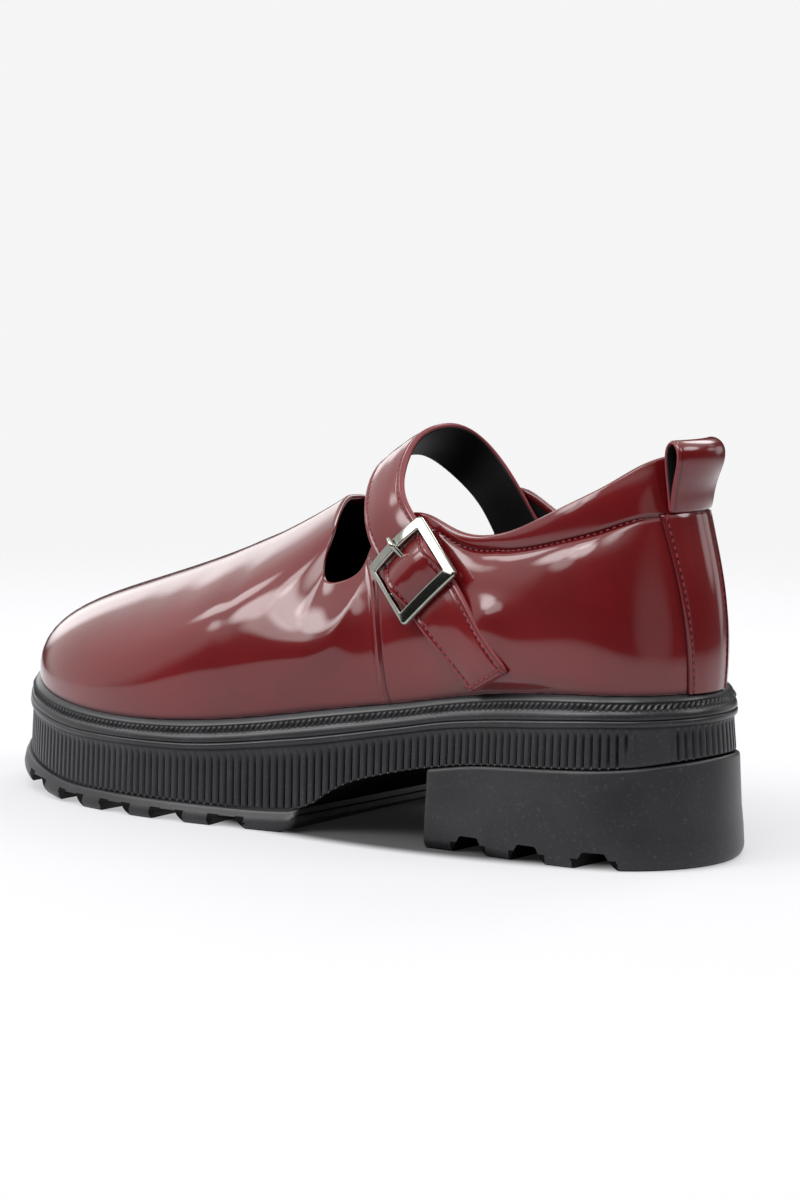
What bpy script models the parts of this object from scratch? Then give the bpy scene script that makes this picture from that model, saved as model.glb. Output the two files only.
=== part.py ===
"""Platform Mary Jane loafer, left shoe.

All tables and sizes below are in millimetres and are turned into metres when a mesh is made.
+X points to the toe, +Y to the outer (lateral) side of the left foot, +Z up.  The tables count x from
the back of the heel and y from the heel's middle line; centre_shift() then puts the origin under the
middle of the shoe's bounding box, on the floor.

Order of work: the sole's plan and its long lines, the shell of the upper (one ribbed surface, from the
feather line at its foot to its top edge), the sole's pieces, the leather pieces that lie on the upper,
and the buckle.
"""
import math

import bmesh
import bpy
import numpy as np
from mathutils import Vector

MM = 0.001

# ---------------------------------------------------------------- driving sizes
SOLE_LENGTH = 275.0
BALL_WIDTH = 102.0
HEEL_RADIUS = 35.0            # plan radius of the seat; the heel is twice this wide
HEEL_BREAST = 84.0            # x of the heel block's front face
TREAD_BACK = 128.0            # x where the forefoot tread starts
GAP = 0.3                     # clearance kept between pieces that touch
UPPER_WALL = 2.0              # leather with its lining
STRAP_THICK = 2.0
TAPE_THICK = 1.4              # pull loop
LOOP_WIDTH = 21.0
STRIP_THICK = 1.0             # back strip
STRIP_HALF_FOOT = 8.7         # half its width across the heel, at its foot and at its top
STRIP_HALF_TOP = 11.6
STRIP_TOP = 102.2             # height of its upper end
FEATHER_INSET = 5.6           # the upper's foot stands in from the sole's outer line
WELT_WIDTH = 12.0             # from the sole's outer line to the welt ring's inner face
INSOLE_THICK = 3.0
INSOLE_CLEARANCE = 0.7        # between the insole's edge and the upper's inner face

BUCKLE_SIDE = 24.0
BUCKLE_BAR = 2.5              # width of the frame's bars
BUCKLE_THICK = 2.1
BUCKLE_STAND = 5.0            # the frame's middle plane above the leather
BUCKLE_X, BUCKLE_Z = 88.2, 82.0
PIN_STAND = 3.0               # the centre bar above the leather
PIN_RADIUS = 0.9
PRONG_RADIUS = 0.7
PIN_CLEARANCE = 0.25          # round the centre bar, inside the prong's eye and the chape
CHAPE_HALF = 6.6              # half the chape's width
CHAPE_LENGTH = 13.0
CHAPE_THICK = 0.8

NOTCH_DEPTH = 5.2
NOTCH_BOTTOM, NOTCH_TOP = 12.0, 7.5
HEEL_NOTCHES = (23.0, 45.3, 67.0)
TREAD_NOTCHES = (152.0, 174.0, 196.0, 218.0, 240.0)
TREAD_NOTCH_DEPTH = 3.6
NOTCH_OVERRUN = 3.0           # the notch cutters reach this far below the tread
HEEL_BEVEL, TREAD_BEVEL = 3.5, 2.2

# ---------------------------------------------------------------- fineness of the meshes
PLAN_STEPS = 720              # points round the sole's outer line
LOOP_STEPS = 40               # points along each side of a sole piece
UPPER_RINGS = 92              # ribs round the upper
UPPER_RIBS = 12               # steps up each rib
STRAP_STEPS = 64
TAPE_STEPS = 30

# ---------------------------------------------------------------- the sole's plan and long lines
# Outer line of the sole: share of the length, share of the ball width (+ is lateral).
PLAN = (
    ("lateral_seat", 0.255, 0.352),
    ("lateral_waist", 0.400, 0.402),
    ("lateral_ball_back", 0.545, 0.486),
    ("lateral_ball", 0.670, 0.530),
    ("lateral_toe", 0.800, 0.500),
    ("lateral_corner", 0.912, 0.375),
    ("lateral_tip", 0.978, 0.177),
    ("toe_tip", 1.000, -0.055),
    ("medial_tip", 0.977, -0.275),
    ("medial_corner", 0.905, -0.405),
    ("medial_toe", 0.790, -0.468),
    ("medial_ball", 0.680, -0.465),
    ("medial_ball_back", 0.545, -0.392),
    ("medial_waist", 0.400, -0.318),
    ("medial_seat", 0.255, -0.326),
)

# Height of each long line of the sole at x.
HEEL_TOP = ((0, 31.8), (14, 29.8), (41, 28.0), (66, 26.3), (HEEL_BREAST, 23.6))
BAND_FOOT = ((0, 32.1), (14, 30.1), (41, 28.3), (66, 26.6), (84, 23.9), (102, 19.8), (111, 16.9),
             (118, 13.2), (124, 9.2), (132, 6.8), (150, 6.2), (215, 6.4), (245, 9.6), (275, 16.0))
BAND_TOP = ((0, 41.6), (20, 41.2), (44, 39.4), (77, 36.0), (95, 32.6), (129, 26.6), (175, 22.0),
            (215, 21.6), (250, 25.0), (275, 30.5))
FEATHER = ((0, 50.9), (30, 50.5), (53, 49.0), (75, 46.0), (92, 42.9), (115, 39.3), (130, 36.8),
           (150, 33.7), (175, 31.2), (200, 30.4), (230, 31.7), (255, 34.8), (275, 38.4))
TREAD_FOOT = ((TREAD_BACK, 3.6), (131, 1.0), (134, 0.0), (212, 0.0), (245, 3.0), (275, 9.0))

# ---------------------------------------------------------------- the upper
# Top edge, a row for each rib: x on the sole where the rib stands, then the edge point itself.
TOP_EDGE_LATERAL = (
    ("collar_back", 0.0, 15.1, 0.0, 119.5),
    ("collar_turn", 13.0, 20.6, 14.2, 116.6),
    ("collar_slope", 25.0, 27.8, 21.0, 111.2),
    ("quarter_high", 40.0, 40.0, 25.4, 104.8),
    ("quarter_low", 62.0, 60.0, 27.0, 96.2),
    ("collar_dip", 82.0, 78.0, 27.4, 95.4),
    ("ear_back", 94.0, 89.5, 26.6, 99.0),
    ("ear_top", 104.0, 100.5, 25.6, 98.6),
    ("ear_front", 114.0, 110.2, 27.0, 91.6),
    ("ear_foot", 122.0, 113.0, 30.2, 82.4),
    ("throat_side", 131.0, 120.4, 31.4, 77.8),
    ("throat_corner", 143.0, 127.8, 30.4, 77.6),
    ("throat_flank", 158.0, 130.8, 25.4, 86.2),
    ("throat_shoulder", 190.0, 135.2, 17.0, 94.0),
    ("throat_crown", 228.0, 140.2, 7.4, 98.9),
)
THROAT_FRONT = ("throat_front", SOLE_LENGTH, 141.6, 0.0, 100.4)
TOP_EDGE_MEDIAL = (
    ("throat_crown", 228.0, 140.2, -7.4, 98.9),
    ("throat_shoulder", 190.0, 135.2, -17.0, 94.0),
    ("throat_flank", 158.0, 130.8, -25.2, 86.4),
    ("throat_corner", 143.0, 126.6, -29.8, 78.4),
    ("throat_side", 131.0, 118.4, -31.0, 78.6),
    ("ear_foot", 122.0, 111.4, -30.4, 84.0),
    ("ear_front", 114.0, 108.6, -28.6, 92.2),
    ("ear_top", 106.0, 104.2, -26.6, 101.4),
    ("ear_back", 98.0, 95.4, -26.8, 103.0),
    ("collar_dip", 84.0, 81.6, -27.8, 96.2),
    ("quarter_low", 64.0, 61.0, -27.0, 96.2),
    ("quarter_high", 40.0, 40.0, -25.2, 104.8),
    ("collar_slope", 25.0, 27.8, -21.0, 111.2),
    ("collar_turn", 13.0, 20.6, -14.2, 116.6),
)

# Shape of a rib that stands at x: the wall's height and swell at the foot, how the rib comes into the
# top edge (share of the way back to the foot, swell, drop), and the fullness of its middle (out, up).
RIB_SHAPE = (
    #  x    wall swell  back  lead  fall  out   up
    (0.0, 14.5, 1.5, 0.00, 0.8, 15.0, 3.9, -1.5),
    (40.0, 15.0, 2.4, 0.00, 3.0, 14.0, 3.2, 0.5),
    (80.0, 14.0, 3.0, 0.04, 3.6, 13.0, 2.8, 0.5),
    (115.0, 14.0, 3.6, 0.08, 4.4, 13.0, 2.6, 0.5),
    (145.0, 15.0, 3.8, 0.16, 7.0, 12.0, 3.0, 3.0),
    (175.0, 17.0, 3.8, 0.24, 7.0, 13.5, 4.4, 4.5),
    (205.0, 19.0, 3.4, 0.29, 4.0, 17.5, 4.6, 1.8),
    (235.0, 21.0, 3.0, 0.30, 1.5, 20.8, 5.0, -2.4),
    (SOLE_LENGTH, 24.0, 3.0, 0.30, 0.0, 22.5, 6.5, -6.0),
)

# ---------------------------------------------------------------- the instep strap
# A row for each section of the strap, its rear edge and its front edge.  "lateral" and "medial" edges
# lie on the upper at (x, z) and stand the third number away from it; "buckle" edges are (along, across,
# out) in the buckle's own directions; "free" edges are (x, y, z).
STRAP_SECTIONS = (
    ("tail_end", "lateral", (53.0, 56.2, 3.2), (68.0, 48.6, 2.4)),
    ("tail_middle", "lateral", (62.6, 67.0, 2.8), (75.6, 57.0, 2.4)),
    ("behind_rear_bar", "buckle", (13.0, 8.8, 2.3), (13.0, -8.8, 2.3)),
    ("rear_bar", "buckle", (10.0, 8.8, 2.5), (10.0, -8.8, 2.5)),
    ("over_pin", "buckle", (0.0, 8.8, 6.3), (0.0, -8.8, 6.3)),
    ("front_bar", "buckle", (-10.0, 8.8, 2.5), (-10.0, -8.8, 2.5)),
    ("before_front_bar", "buckle", (-13.0, 8.8, 2.3), (-13.0, -8.8, 2.3)),
    ("leaving", "free", (98.4, 27.4, 103.6), (110.6, 30.4, 93.0)),
    ("rising", "free", (104.0, 20.6, 112.4), (118.4, 21.4, 103.2)),
    ("shoulder", "free", (106.4, 11.6, 120.0), (121.2, 12.6, 110.6)),
    ("over_instep", "free", (106.6, 0.0, 123.2), (121.4, 0.0, 113.8)),
    ("far_shoulder", "free", (107.0, -13.6, 121.2), (121.8, -13.2, 111.6)),
    ("falling", "free", (103.6, -21.0, 114.6), (118.4, -23.0, 104.0)),
    ("inside_ear_top", "free", (96.8, -22.4, 106.2), (110.6, -24.4, 96.0)),
    ("medial_ear_inside", "medial", (91.2, 97.2, -3.7), (105.0, 86.0, -3.7)),
    ("medial_end", "medial", (86.4, 89.4, -3.7), (99.8, 77.6, -3.7)),
)


# ================================================================ curves
def pchip(table, x):
    """Height at x on a line through (x, height) rows that never overshoots between them."""
    xs = np.array([row[0] for row in table], float)
    ys = np.array([row[1] for row in table], float)
    x = np.clip(np.asarray(x, float), xs[0], xs[-1])
    step = np.diff(xs)
    rise = np.diff(ys) / step
    slope = np.zeros(len(xs))
    for i in range(1, len(xs) - 1):
        if rise[i - 1] * rise[i] > 0:
            w1 = 2 * step[i] + step[i - 1]
            w2 = step[i] + 2 * step[i - 1]
            slope[i] = (w1 + w2) / (w1 / rise[i - 1] + w2 / rise[i])
    slope[0] = rise[0]
    slope[-1] = rise[-1]
    k = np.clip(np.searchsorted(xs, x, side="right") - 1, 0, len(xs) - 2)
    t = (x - xs[k]) / step[k]
    return ((1 + 2 * t) * (1 - t) ** 2 * ys[k] + t * (1 - t) ** 2 * step[k] * slope[k]
            + t ** 2 * (3 - 2 * t) * ys[k + 1] + t ** 2 * (t - 1) * step[k] * slope[k + 1])


def spline(knots, values, closed=False):
    """Cubic curve with smooth bending through the values; a function of the knot value."""
    t = np.asarray(knots, float)
    v = np.asarray(values, float)
    n = len(t)
    h = np.diff(t)
    a = np.zeros((n, n))
    b = np.zeros((n,) + v.shape[1:])
    for i in range(1, n - 1):
        a[i, i - 1:i + 2] = h[i - 1], 2 * (h[i - 1] + h[i]), h[i]
        b[i] = 6 * ((v[i + 1] - v[i]) / h[i] - (v[i] - v[i - 1]) / h[i - 1])
    if closed:
        a[0, 0], a[0, 1], a[0, -2] = 2 * (h[-1] + h[0]), h[0], h[-1]
        b[0] = 6 * ((v[1] - v[0]) / h[0] - (v[-1] - v[-2]) / h[-1])
        a[-1, 0], a[-1, -1] = 1, -1
    else:
        a[0, 0] = a[-1, -1] = 1
    bend = np.linalg.solve(a, b.reshape(n, -1)).reshape(b.shape)

    def curve(x):
        x = np.atleast_1d(np.asarray(x, float))
        if closed:
            x = t[0] + np.mod(x - t[0], t[-1] - t[0])
        k = np.clip(np.searchsorted(t, x, side="right") - 1, 0, n - 2)
        shape = (-1,) + (1,) * (v.ndim - 1)
        hk = h[k].reshape(shape)
        p = ((t[k + 1] - x) / h[k]).reshape(shape)
        q = 1 - p
        return (p * v[k] + q * v[k + 1]
                + ((p ** 3 - p) * bend[k] + (q ** 3 - q) * bend[k + 1]) * hk ** 2 / 6)

    return curve


def chord_knots(points):
    """Running length along the points, the natural parameter for a spline through them."""
    steps = np.linalg.norm(np.diff(points, axis=0), axis=1)
    return np.concatenate(([0.0], np.cumsum(steps)))


# ================================================================ the sole's plan
def plan_line():
    """The closed outer line as dense points: the round seat by its radius, then the table."""
    seat = [(HEEL_RADIUS * (1 - math.cos(a)), HEEL_RADIUS * math.sin(a))
            for a in np.radians((0, 30, 60, 90))]
    rest = [(along * SOLE_LENGTH, side * BALL_WIDTH) for _, along, side in PLAN]
    points = np.array(seat + rest + [(x, -y) for x, y in reversed(seat)])
    knots = chord_knots(points)
    return spline(knots, points, closed=True)(np.linspace(0, knots[-1], PLAN_STEPS + 1)[:-1])


OUTER_LINE = plan_line()
AHEAD = np.roll(OUTER_LINE, -1, axis=0) - np.roll(OUTER_LINE, 1, axis=0)
AHEAD /= np.linalg.norm(AHEAD, axis=1)[:, None]
OUTWARD = np.column_stack((-AHEAD[:, 1], AHEAD[:, 0]))
TIP = int(np.argmax(OUTER_LINE[:, 0]))


def centre_shift():
    """Moves the tables' zero to the middle of the shoe's box."""
    low = OUTER_LINE.min(axis=0)
    high = OUTER_LINE.max(axis=0)
    return np.array((-(low[0] + high[0]) / 2, -(low[1] + high[1]) / 2, 0.0))


def halves(inset):
    """Lateral and medial halves of the inset line, each from the heel's back to the toe's tip."""
    line = OUTER_LINE - inset * OUTWARD
    return line[:TIP + 1], np.vstack((line[TIP:], line[:1]))[::-1]


def loop_at(inset, height, start=None, end=None, steps=LOOP_STEPS):
    """Closed loop of the inset line at height(x); start and end cut it with straight faces."""
    lateral, medial = halves(inset)
    first = lateral[0, 0] if start is None else start
    last = lateral[-1, 0] if end is None else end
    low = 0.0 if start is None else math.pi / 2
    high = math.pi if end is None else math.pi / 2
    turn = np.linspace(low, high, steps + 1)
    share = (math.cos(low) - np.cos(turn)) / (math.cos(low) - math.cos(high))
    x = first + (last - first) * share
    side = [np.interp(x, half[:, 0], half[:, 1]) for half in (lateral, medial)]
    z = height(x)
    there = np.column_stack((x, side[0], z))
    back = np.column_stack((x, side[1], z))[::-1]
    return np.vstack((there, back))


# ================================================================ the upper's surface
feather = spline([row[0] for row in FEATHER], [row[1] for row in FEATHER])


def foot_share(x, side):
    """Place on the outer line (0 to 1, from the heel's back round the lateral side) of an x."""
    half = halves(0.0)[0 if side > 0 else 1]
    place = np.interp(x, half[:, 0], np.arange(len(half)))
    return (place if side > 0 else PLAN_STEPS - place) / PLAN_STEPS


def upper_curves():
    """Foot place and top edge as smooth closed functions of one ring parameter from 0 to 1."""
    rows = [(row, 1) for row in TOP_EDGE_LATERAL] + [(THROAT_FRONT, 1)]
    rows += [(row, -1) for row in TOP_EDGE_MEDIAL]
    place = np.array([foot_share(row[1], side) for row, side in rows] + [1.0])
    top = np.array([row[2:] for row, _ in rows] + [rows[0][0][2:]])
    foot = OUTER_LINE[(place * PLAN_STEPS).astype(int) % PLAN_STEPS]
    knots = (chord_knots(foot) + chord_knots(top)) / 2
    knots /= knots[-1]
    drift = place - knots
    return spline(knots, drift, closed=True), spline(knots, top, closed=True)


PLACE_DRIFT, TOP_EDGE = upper_curves()
SHAPE = spline([row[0] for row in RIB_SHAPE], [row[1:] for row in RIB_SHAPE])
RING = np.linspace(0, 1, PLAN_STEPS + 1)
PLAN_AT = spline(RING, np.vstack((OUTER_LINE, OUTER_LINE[:1])), closed=True)
OUT_AT = spline(RING, np.vstack((OUTWARD, OUTWARD[:1])), closed=True)


def ribs(s):
    """The five control points of the rib at each ring parameter, from the foot to the top edge."""
    place = s + PLACE_DRIFT(s)
    out = np.column_stack((OUT_AT(place), np.zeros(len(s))))
    plan = PLAN_AT(place)
    wall, swell, back, lead, fall, full_out, full_up = SHAPE(plan[:, 0]).T[:, :, None]
    up = np.array((0.0, 0.0, 1.0))
    foot = np.column_stack((plan, feather(plan[:, 0]))) - FEATHER_INSET * out
    top = TOP_EDGE(s)
    way_back = (foot - top) * (1, 1, 0)
    low = foot + swell * out + wall * up
    high = top + back * way_back + lead * out - fall * up
    middle = (low + high) / 2 + full_out * out + full_up * up
    return foot, low, middle, high, top


def upper_at(s, t):
    """Points of the upper's outer face on the grid of ring parameters s and rib shares t."""
    s = np.atleast_1d(np.asarray(s, float))
    t = np.atleast_1d(np.asarray(t, float))
    points = np.zeros((len(s), len(t), 3))
    for k, control in enumerate(ribs(s)):
        weight = math.comb(4, k) * t ** k * (1 - t) ** (4 - k)
        points += weight[None, :, None] * control[:, None, :]
    return points


def upper_normals(s, t, step=1e-4):
    """Outward unit normals of the outer face on the same grid."""
    along = upper_at(s + step, t) - upper_at(s - step, t)
    rise = upper_at(s, np.minimum(t + step, 1)) - upper_at(s, np.maximum(t - step, 0))
    normal = np.cross(rise, along)
    return normal / np.linalg.norm(normal, axis=2, keepdims=True)


def on_upper(side, x, z, stand):
    """The point over the outer face at (x, z) on one side, that far out, and the normal there."""
    grid_s = np.linspace(0.02, 0.46, 60) if side == "lateral" else np.linspace(0.54, 0.98, 60)
    grid_t = np.linspace(0.0, 1.0, 30)
    grid = upper_at(grid_s, grid_t)
    miss = (grid[:, :, 0] - x) ** 2 + (grid[:, :, 2] - z) ** 2
    i, j = np.unravel_index(np.argmin(miss), miss.shape)
    s, t = grid_s[i], grid_t[j]
    step = 1e-4
    for _ in range(8):
        here = upper_at(s, t)[0, 0]
        by_s = (upper_at(s + step, t)[0, 0] - here) / step
        by_t = (upper_at(s, t + step)[0, 0] - here) / step
        slopes = np.array(((by_s[0], by_t[0]), (by_s[2], by_t[2])))
        move = np.linalg.solve(slopes, (x - here[0], z - here[2]))
        s, t = s + move[0], t + move[1]
    normal = upper_normals(np.array((s,)), np.array((t,)))[0, 0]
    return upper_at(s, t)[0, 0] + stand * normal, normal


# ================================================================ solids
def make_material(name, colour, roughness, metallic=0.0):
    material = bpy.data.materials.new(name)
    material.use_nodes = True
    shader = material.node_tree.nodes["Principled BSDF"]
    shader.inputs["Base Color"].default_value = (*colour, 1.0)
    shader.inputs["Roughness"].default_value = roughness
    shader.inputs["Metallic"].default_value = metallic
    return material


def add_solid(name, points, faces, material, smooth=True):
    """Closed mesh object from points in table millimetres, with its faces turned outwards."""
    mesh = bpy.data.meshes.new(name)
    body = bmesh.new()
    placed = (np.asarray(points, float) + centre_shift()) * MM
    corners = [body.verts.new(Vector(point)) for point in placed]
    for face in faces:
        body.faces.new([corners[k] for k in face])
    bmesh.ops.remove_doubles(body, verts=body.verts, dist=1e-6)
    bmesh.ops.dissolve_degenerate(body, dist=1e-7, edges=body.edges)
    bmesh.ops.recalc_face_normals(body, faces=body.faces)
    body.to_mesh(mesh)
    body.free()
    if smooth:
        mesh.shade_smooth()
        mesh.set_sharp_from_angle(angle=math.radians(35))
    part = bpy.data.objects.new(name, mesh)
    bpy.context.collection.objects.link(part)
    if material:
        part.data.materials.append(material)
    return part


def stack_solid(name, loops, material):
    """Solid through loops of equal count, lowest first, closed by strips across its two ends."""
    count = len(loops[0])
    points = np.vstack(loops)
    faces = []
    for level in range(len(loops) - 1):
        for k in range(count):
            a = level * count + k
            b = level * count + (k + 1) % count
            faces.append((a, b, b + count, a + count))
    for level in (0, len(loops) - 1):
        start = level * count
        for k in range(count // 2 - 1):
            a = start + k
            b = start + count - 1 - k
            faces.append((a, a + 1, b - 1, b))
    return add_solid(name, points, faces, material)


def shell_solid(name, outer, inner, material, closed=False):
    """Wall between two matching grids of points; closed joins the first column to the last."""
    rows, columns = outer.shape[:2]
    points = np.vstack((outer.reshape(-1, 3), inner.reshape(-1, 3)))
    under = rows * columns
    faces = []
    for i in range(rows if closed else rows - 1):
        a, b = i * columns, (i + 1) % rows * columns
        for j in range(columns - 1):
            quad = (a + j, b + j, b + j + 1, a + j + 1)
            faces.append(quad)
            faces.append(tuple(k + under for k in quad))
        for j in (0, columns - 1):
            faces.append((a + j, b + j, b + j + under, a + j + under))
    if not closed:
        for i in (0, rows - 1):
            for j in range(columns - 1):
                a = i * columns + j
                faces.append((a, a + 1, a + 1 + under, a + under))
    return add_solid(name, points, faces, material)


def tube_solid(name, path, radius, material, sides=10):
    """Round bar along a path of points, with flat ends."""
    path = np.asarray(path, float)
    ahead = np.gradient(path, axis=0)
    ahead /= np.linalg.norm(ahead, axis=1)[:, None]
    across = BUCKLE.across
    points = []
    for point, way in zip(path, ahead):
        up = np.cross(way, across)
        up /= np.linalg.norm(up)
        for k in range(sides):
            turn = 2 * math.pi * k / sides
            points.append(point + radius * (math.cos(turn) * across + math.sin(turn) * up))
    faces = [tuple(range(sides)), tuple(range(len(points) - sides, len(points)))]
    for i in range(len(path) - 1):
        for k in range(sides):
            a, b = i * sides + k, i * sides + (k + 1) % sides
            faces.append((a, b, b + sides, a + sides))
    return add_solid(name, points, faces, material)


def boolean(target, cutter, operation):
    """Cuts or joins one helper body and hides it."""
    step = target.modifiers.new(operation.lower(), "BOOLEAN")
    step.operation = operation
    step.object = cutter
    step.solver = "EXACT"
    cutter.hide_render = True
    cutter.display_type = "WIRE"


# ================================================================ the sole's pieces
def notch_cutter(name, x, floor, depth):
    """Wedge right across the sole, wide at the tread and narrow at its top."""
    half_low, half_high = NOTCH_BOTTOM / 2, NOTCH_TOP / 2
    spread = (half_low - half_high) / depth
    below = NOTCH_OVERRUN
    half_below = half_low + below * spread
    profile = ((x - half_below, floor - below), (x + half_below, floor - below),
               (x + half_high, floor + depth), (x - half_high, floor + depth))
    points = [(px, y, pz) for y in (-BALL_WIDTH, BALL_WIDTH) for px, pz in profile]
    faces = [(0, 1, 2, 3), (4, 5, 6, 7)] + [(k, (k + 1) % 4, (k + 1) % 4 + 4, k + 4) for k in range(4)]
    return add_solid(name, points, faces, None, smooth=False)


def make_heel_block(rubber):
    """Smooth block under the seat: bevelled at the floor, drawn in towards the band above it."""
    loops = [
        loop_at(1.8, lambda x: 0 * x, end=HEEL_BREAST - 2.0),
        loop_at(0.0, lambda x: 0 * x + HEEL_BEVEL, end=HEEL_BREAST),
        loop_at(2.0, lambda x: pchip(HEEL_TOP, x), end=HEEL_BREAST),
    ]
    block = stack_solid("heel_block", loops, rubber)
    for k, x in enumerate(HEEL_NOTCHES):
        boolean(block, notch_cutter(f"heel_notch_{k + 1}", x, 0.0, NOTCH_DEPTH), "DIFFERENCE")


def make_forefoot_tread(rubber):
    """Tread under the ball and toes; it rises at the toe, and its top meets the band's foot."""
    loops = [
        loop_at(1.4, lambda x: pchip(TREAD_FOOT, x), start=TREAD_BACK),
        loop_at(0.0, lambda x: pchip(TREAD_FOOT, x) + TREAD_BEVEL, start=TREAD_BACK),
        loop_at(1.6, lambda x: pchip(BAND_FOOT, x) - GAP, start=TREAD_BACK),
    ]
    tread = stack_solid("forefoot_tread", loops, rubber)
    for k, x in enumerate(TREAD_NOTCHES):
        floor = float(pchip(TREAD_FOOT, x))
        boolean(tread, notch_cutter(f"tread_notch_{k + 1}", x, floor, TREAD_NOTCH_DEPTH), "DIFFERENCE")


def make_midsole(rubber):
    """The platform: the band's side, then a plug that fills the welt's ring."""
    plug = WELT_WIDTH + GAP
    loops = [
        loop_at(3.0, lambda x: pchip(BAND_FOOT, x)),
        loop_at(4.2, lambda x: pchip(BAND_TOP, x)),
        loop_at(plug, lambda x: pchip(BAND_TOP, x)),
        loop_at(plug, lambda x: feather(x) - GAP),
    ]
    stack_solid("midsole_band", loops, rubber)


# The welt's section: how far in from the outer line, share of the way up from the band to the
# feather line, and a clearance added to that height.
WELT_SECTION = (
    ("foot", 4.0, 0.00, GAP),
    ("lip_low", 2.6, 0.12, 0.0),
    ("lip", 2.2, 0.42, 0.0),
    ("lip_high", 2.8, 0.72, 0.0),
    ("ledge", 4.0, 0.90, 0.0),
    ("seat", 5.0, 1.00, -GAP),
    ("inner_top", WELT_WIDTH, 1.00, -GAP),
    ("inner_foot", WELT_WIDTH, 0.00, GAP),
)


def make_welt(rubber):
    """Ring with a rounded lip outside and a flat seat for the upper's foot."""
    rings = []
    for _, inset, share, clearance in WELT_SECTION:
        def height(x, share=share, clearance=clearance):
            band = pchip(BAND_TOP, x)
            return band + share * (feather(x) - band) + clearance
        rings.append(loop_at(inset, height))
    count = len(rings[0])
    sides = len(rings)
    faces = []
    for i in range(sides):
        for k in range(count):
            a, b = i * count + k, i * count + (k + 1) % count
            c = (i + 1) % sides * count
            faces.append((a, b, c + (k + 1) % count, c + k))
    add_solid("welt", np.vstack(rings), faces, rubber)


def make_insole(lining):
    inset = FEATHER_INSET + UPPER_WALL + INSOLE_CLEARANCE
    loops = [
        loop_at(inset, feather),
        loop_at(inset, lambda x: feather(x) + INSOLE_THICK),
    ]
    stack_solid("insole", loops, lining)


# ================================================================ leather pieces
def upper_wall(s, t, low, high):
    """Two grids over the same part of the upper, low and high above its outer face."""
    face = upper_at(s, t)
    normal = upper_normals(s, t)
    return face + high * normal, face + low * normal


def make_upper(leather):
    """One hollow wall, open at the collar and throat above and at the feather line below."""
    s = np.arange(UPPER_RINGS) / UPPER_RINGS
    t = np.linspace(0, 1, UPPER_RIBS + 1)
    outer, inner = upper_wall(s, t, -UPPER_WALL, 0.0)
    level = upper_normals(s, t[:1])[:, 0] * (1, 1, 0)
    level /= np.linalg.norm(level, axis=1)[:, None]
    inner[:, 0] = outer[:, 0] - UPPER_WALL * level
    shell_solid("upper", outer, inner, leather, closed=True)


def make_back_strip(leather):
    """Heel stay: a strip cut from the upper's own surface and laid over it, wider at its top."""
    rise = np.linspace(0, 1, 201)
    heights = upper_at(0.0, rise)[0, :, 2]
    top = float(np.interp(STRIP_TOP, heights, rise))
    reach = np.linspace(0, 0.08, 81)
    columns = []
    for t in np.linspace(0.015, top, 15):
        half = STRIP_HALF_FOOT + (STRIP_HALF_TOP - STRIP_HALF_FOOT) * t / top
        edge = float(np.interp(half, upper_at(reach, t)[:, 0, 1], reach))
        s = np.linspace(-edge, edge, 9)
        columns.append(upper_wall(s, t, GAP, GAP + STRIP_THICK))
    outer, inner = (np.concatenate([pair[k] for pair in columns], axis=1) for k in (0, 1))
    shell_solid("back_strip", outer, inner, leather)


# Middle line of the pull loop's tape, seen from the side: distance out from the collar and height.
LOOP_LINE = (
    ("joined_foot", 1.45, 103.8),
    ("outer_low", 2.9, 108.0),
    ("outer_middle", 4.6, 113.6),
    ("outer_high", 5.9, 118.8),
    ("crown_outer", 5.3, 121.9),
    ("crown", 3.6, 123.0),
    ("crown_inner", 1.9, 121.9),
    ("inner_high", 1.15, 118.4),
    ("inner_middle", 1.15, 113.6),
    ("inner_low", 1.2, 108.6),
)


def make_pull_loop(leather):
    """Tape folded over into a flat teardrop, swept round the heel's curve."""
    rise = np.linspace(0, 1, 201)
    back = upper_at(0.0, rise)[0]
    points = []
    for _, out, z in LOOP_LINE:
        collar = HEEL_RADIUS - np.interp(z, back[:, 2], back[:, 0])
        points.append((collar + out, z))
    points = np.array(points + points[:1])
    knots = chord_knots(points)
    line = spline(knots, points, closed=True)(np.linspace(0, knots[-1], TAPE_STEPS + 1)[:-1])
    ahead = np.roll(line, -1, axis=0) - np.roll(line, 1, axis=0)
    ahead /= np.linalg.norm(ahead, axis=1)[:, None]
    side = np.column_stack((-ahead[:, 1], ahead[:, 0])) * TAPE_THICK / 2
    half_turn = math.asin(LOOP_WIDTH / 2 / points[:, 0].mean())
    grids = []
    for section in (line + side, line - side):
        columns = []
        for turn in np.linspace(-half_turn, half_turn, 7):
            columns.append(np.column_stack((HEEL_RADIUS - section[:, 0] * math.cos(turn),
                                            section[:, 0] * math.sin(turn), section[:, 1])))
        grids.append(np.stack(columns, axis=1))
    shell_solid("pull_loop", grids[0], grids[1], leather, closed=True)


def strap_section(kind, rear, front):
    """Rear, middle and front points of one section of the strap."""
    rear, front = np.array(rear), np.array(front)
    middle = (rear + front) / 2
    if kind == "free":
        return np.array((rear, middle, front))
    if kind == "buckle":
        return np.array([BUCKLE.at(*edge) for edge in (rear, middle, front)])
    return np.array([on_upper(kind, x, z, stand)[0] for x, z, stand in (rear, middle, front)])


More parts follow.
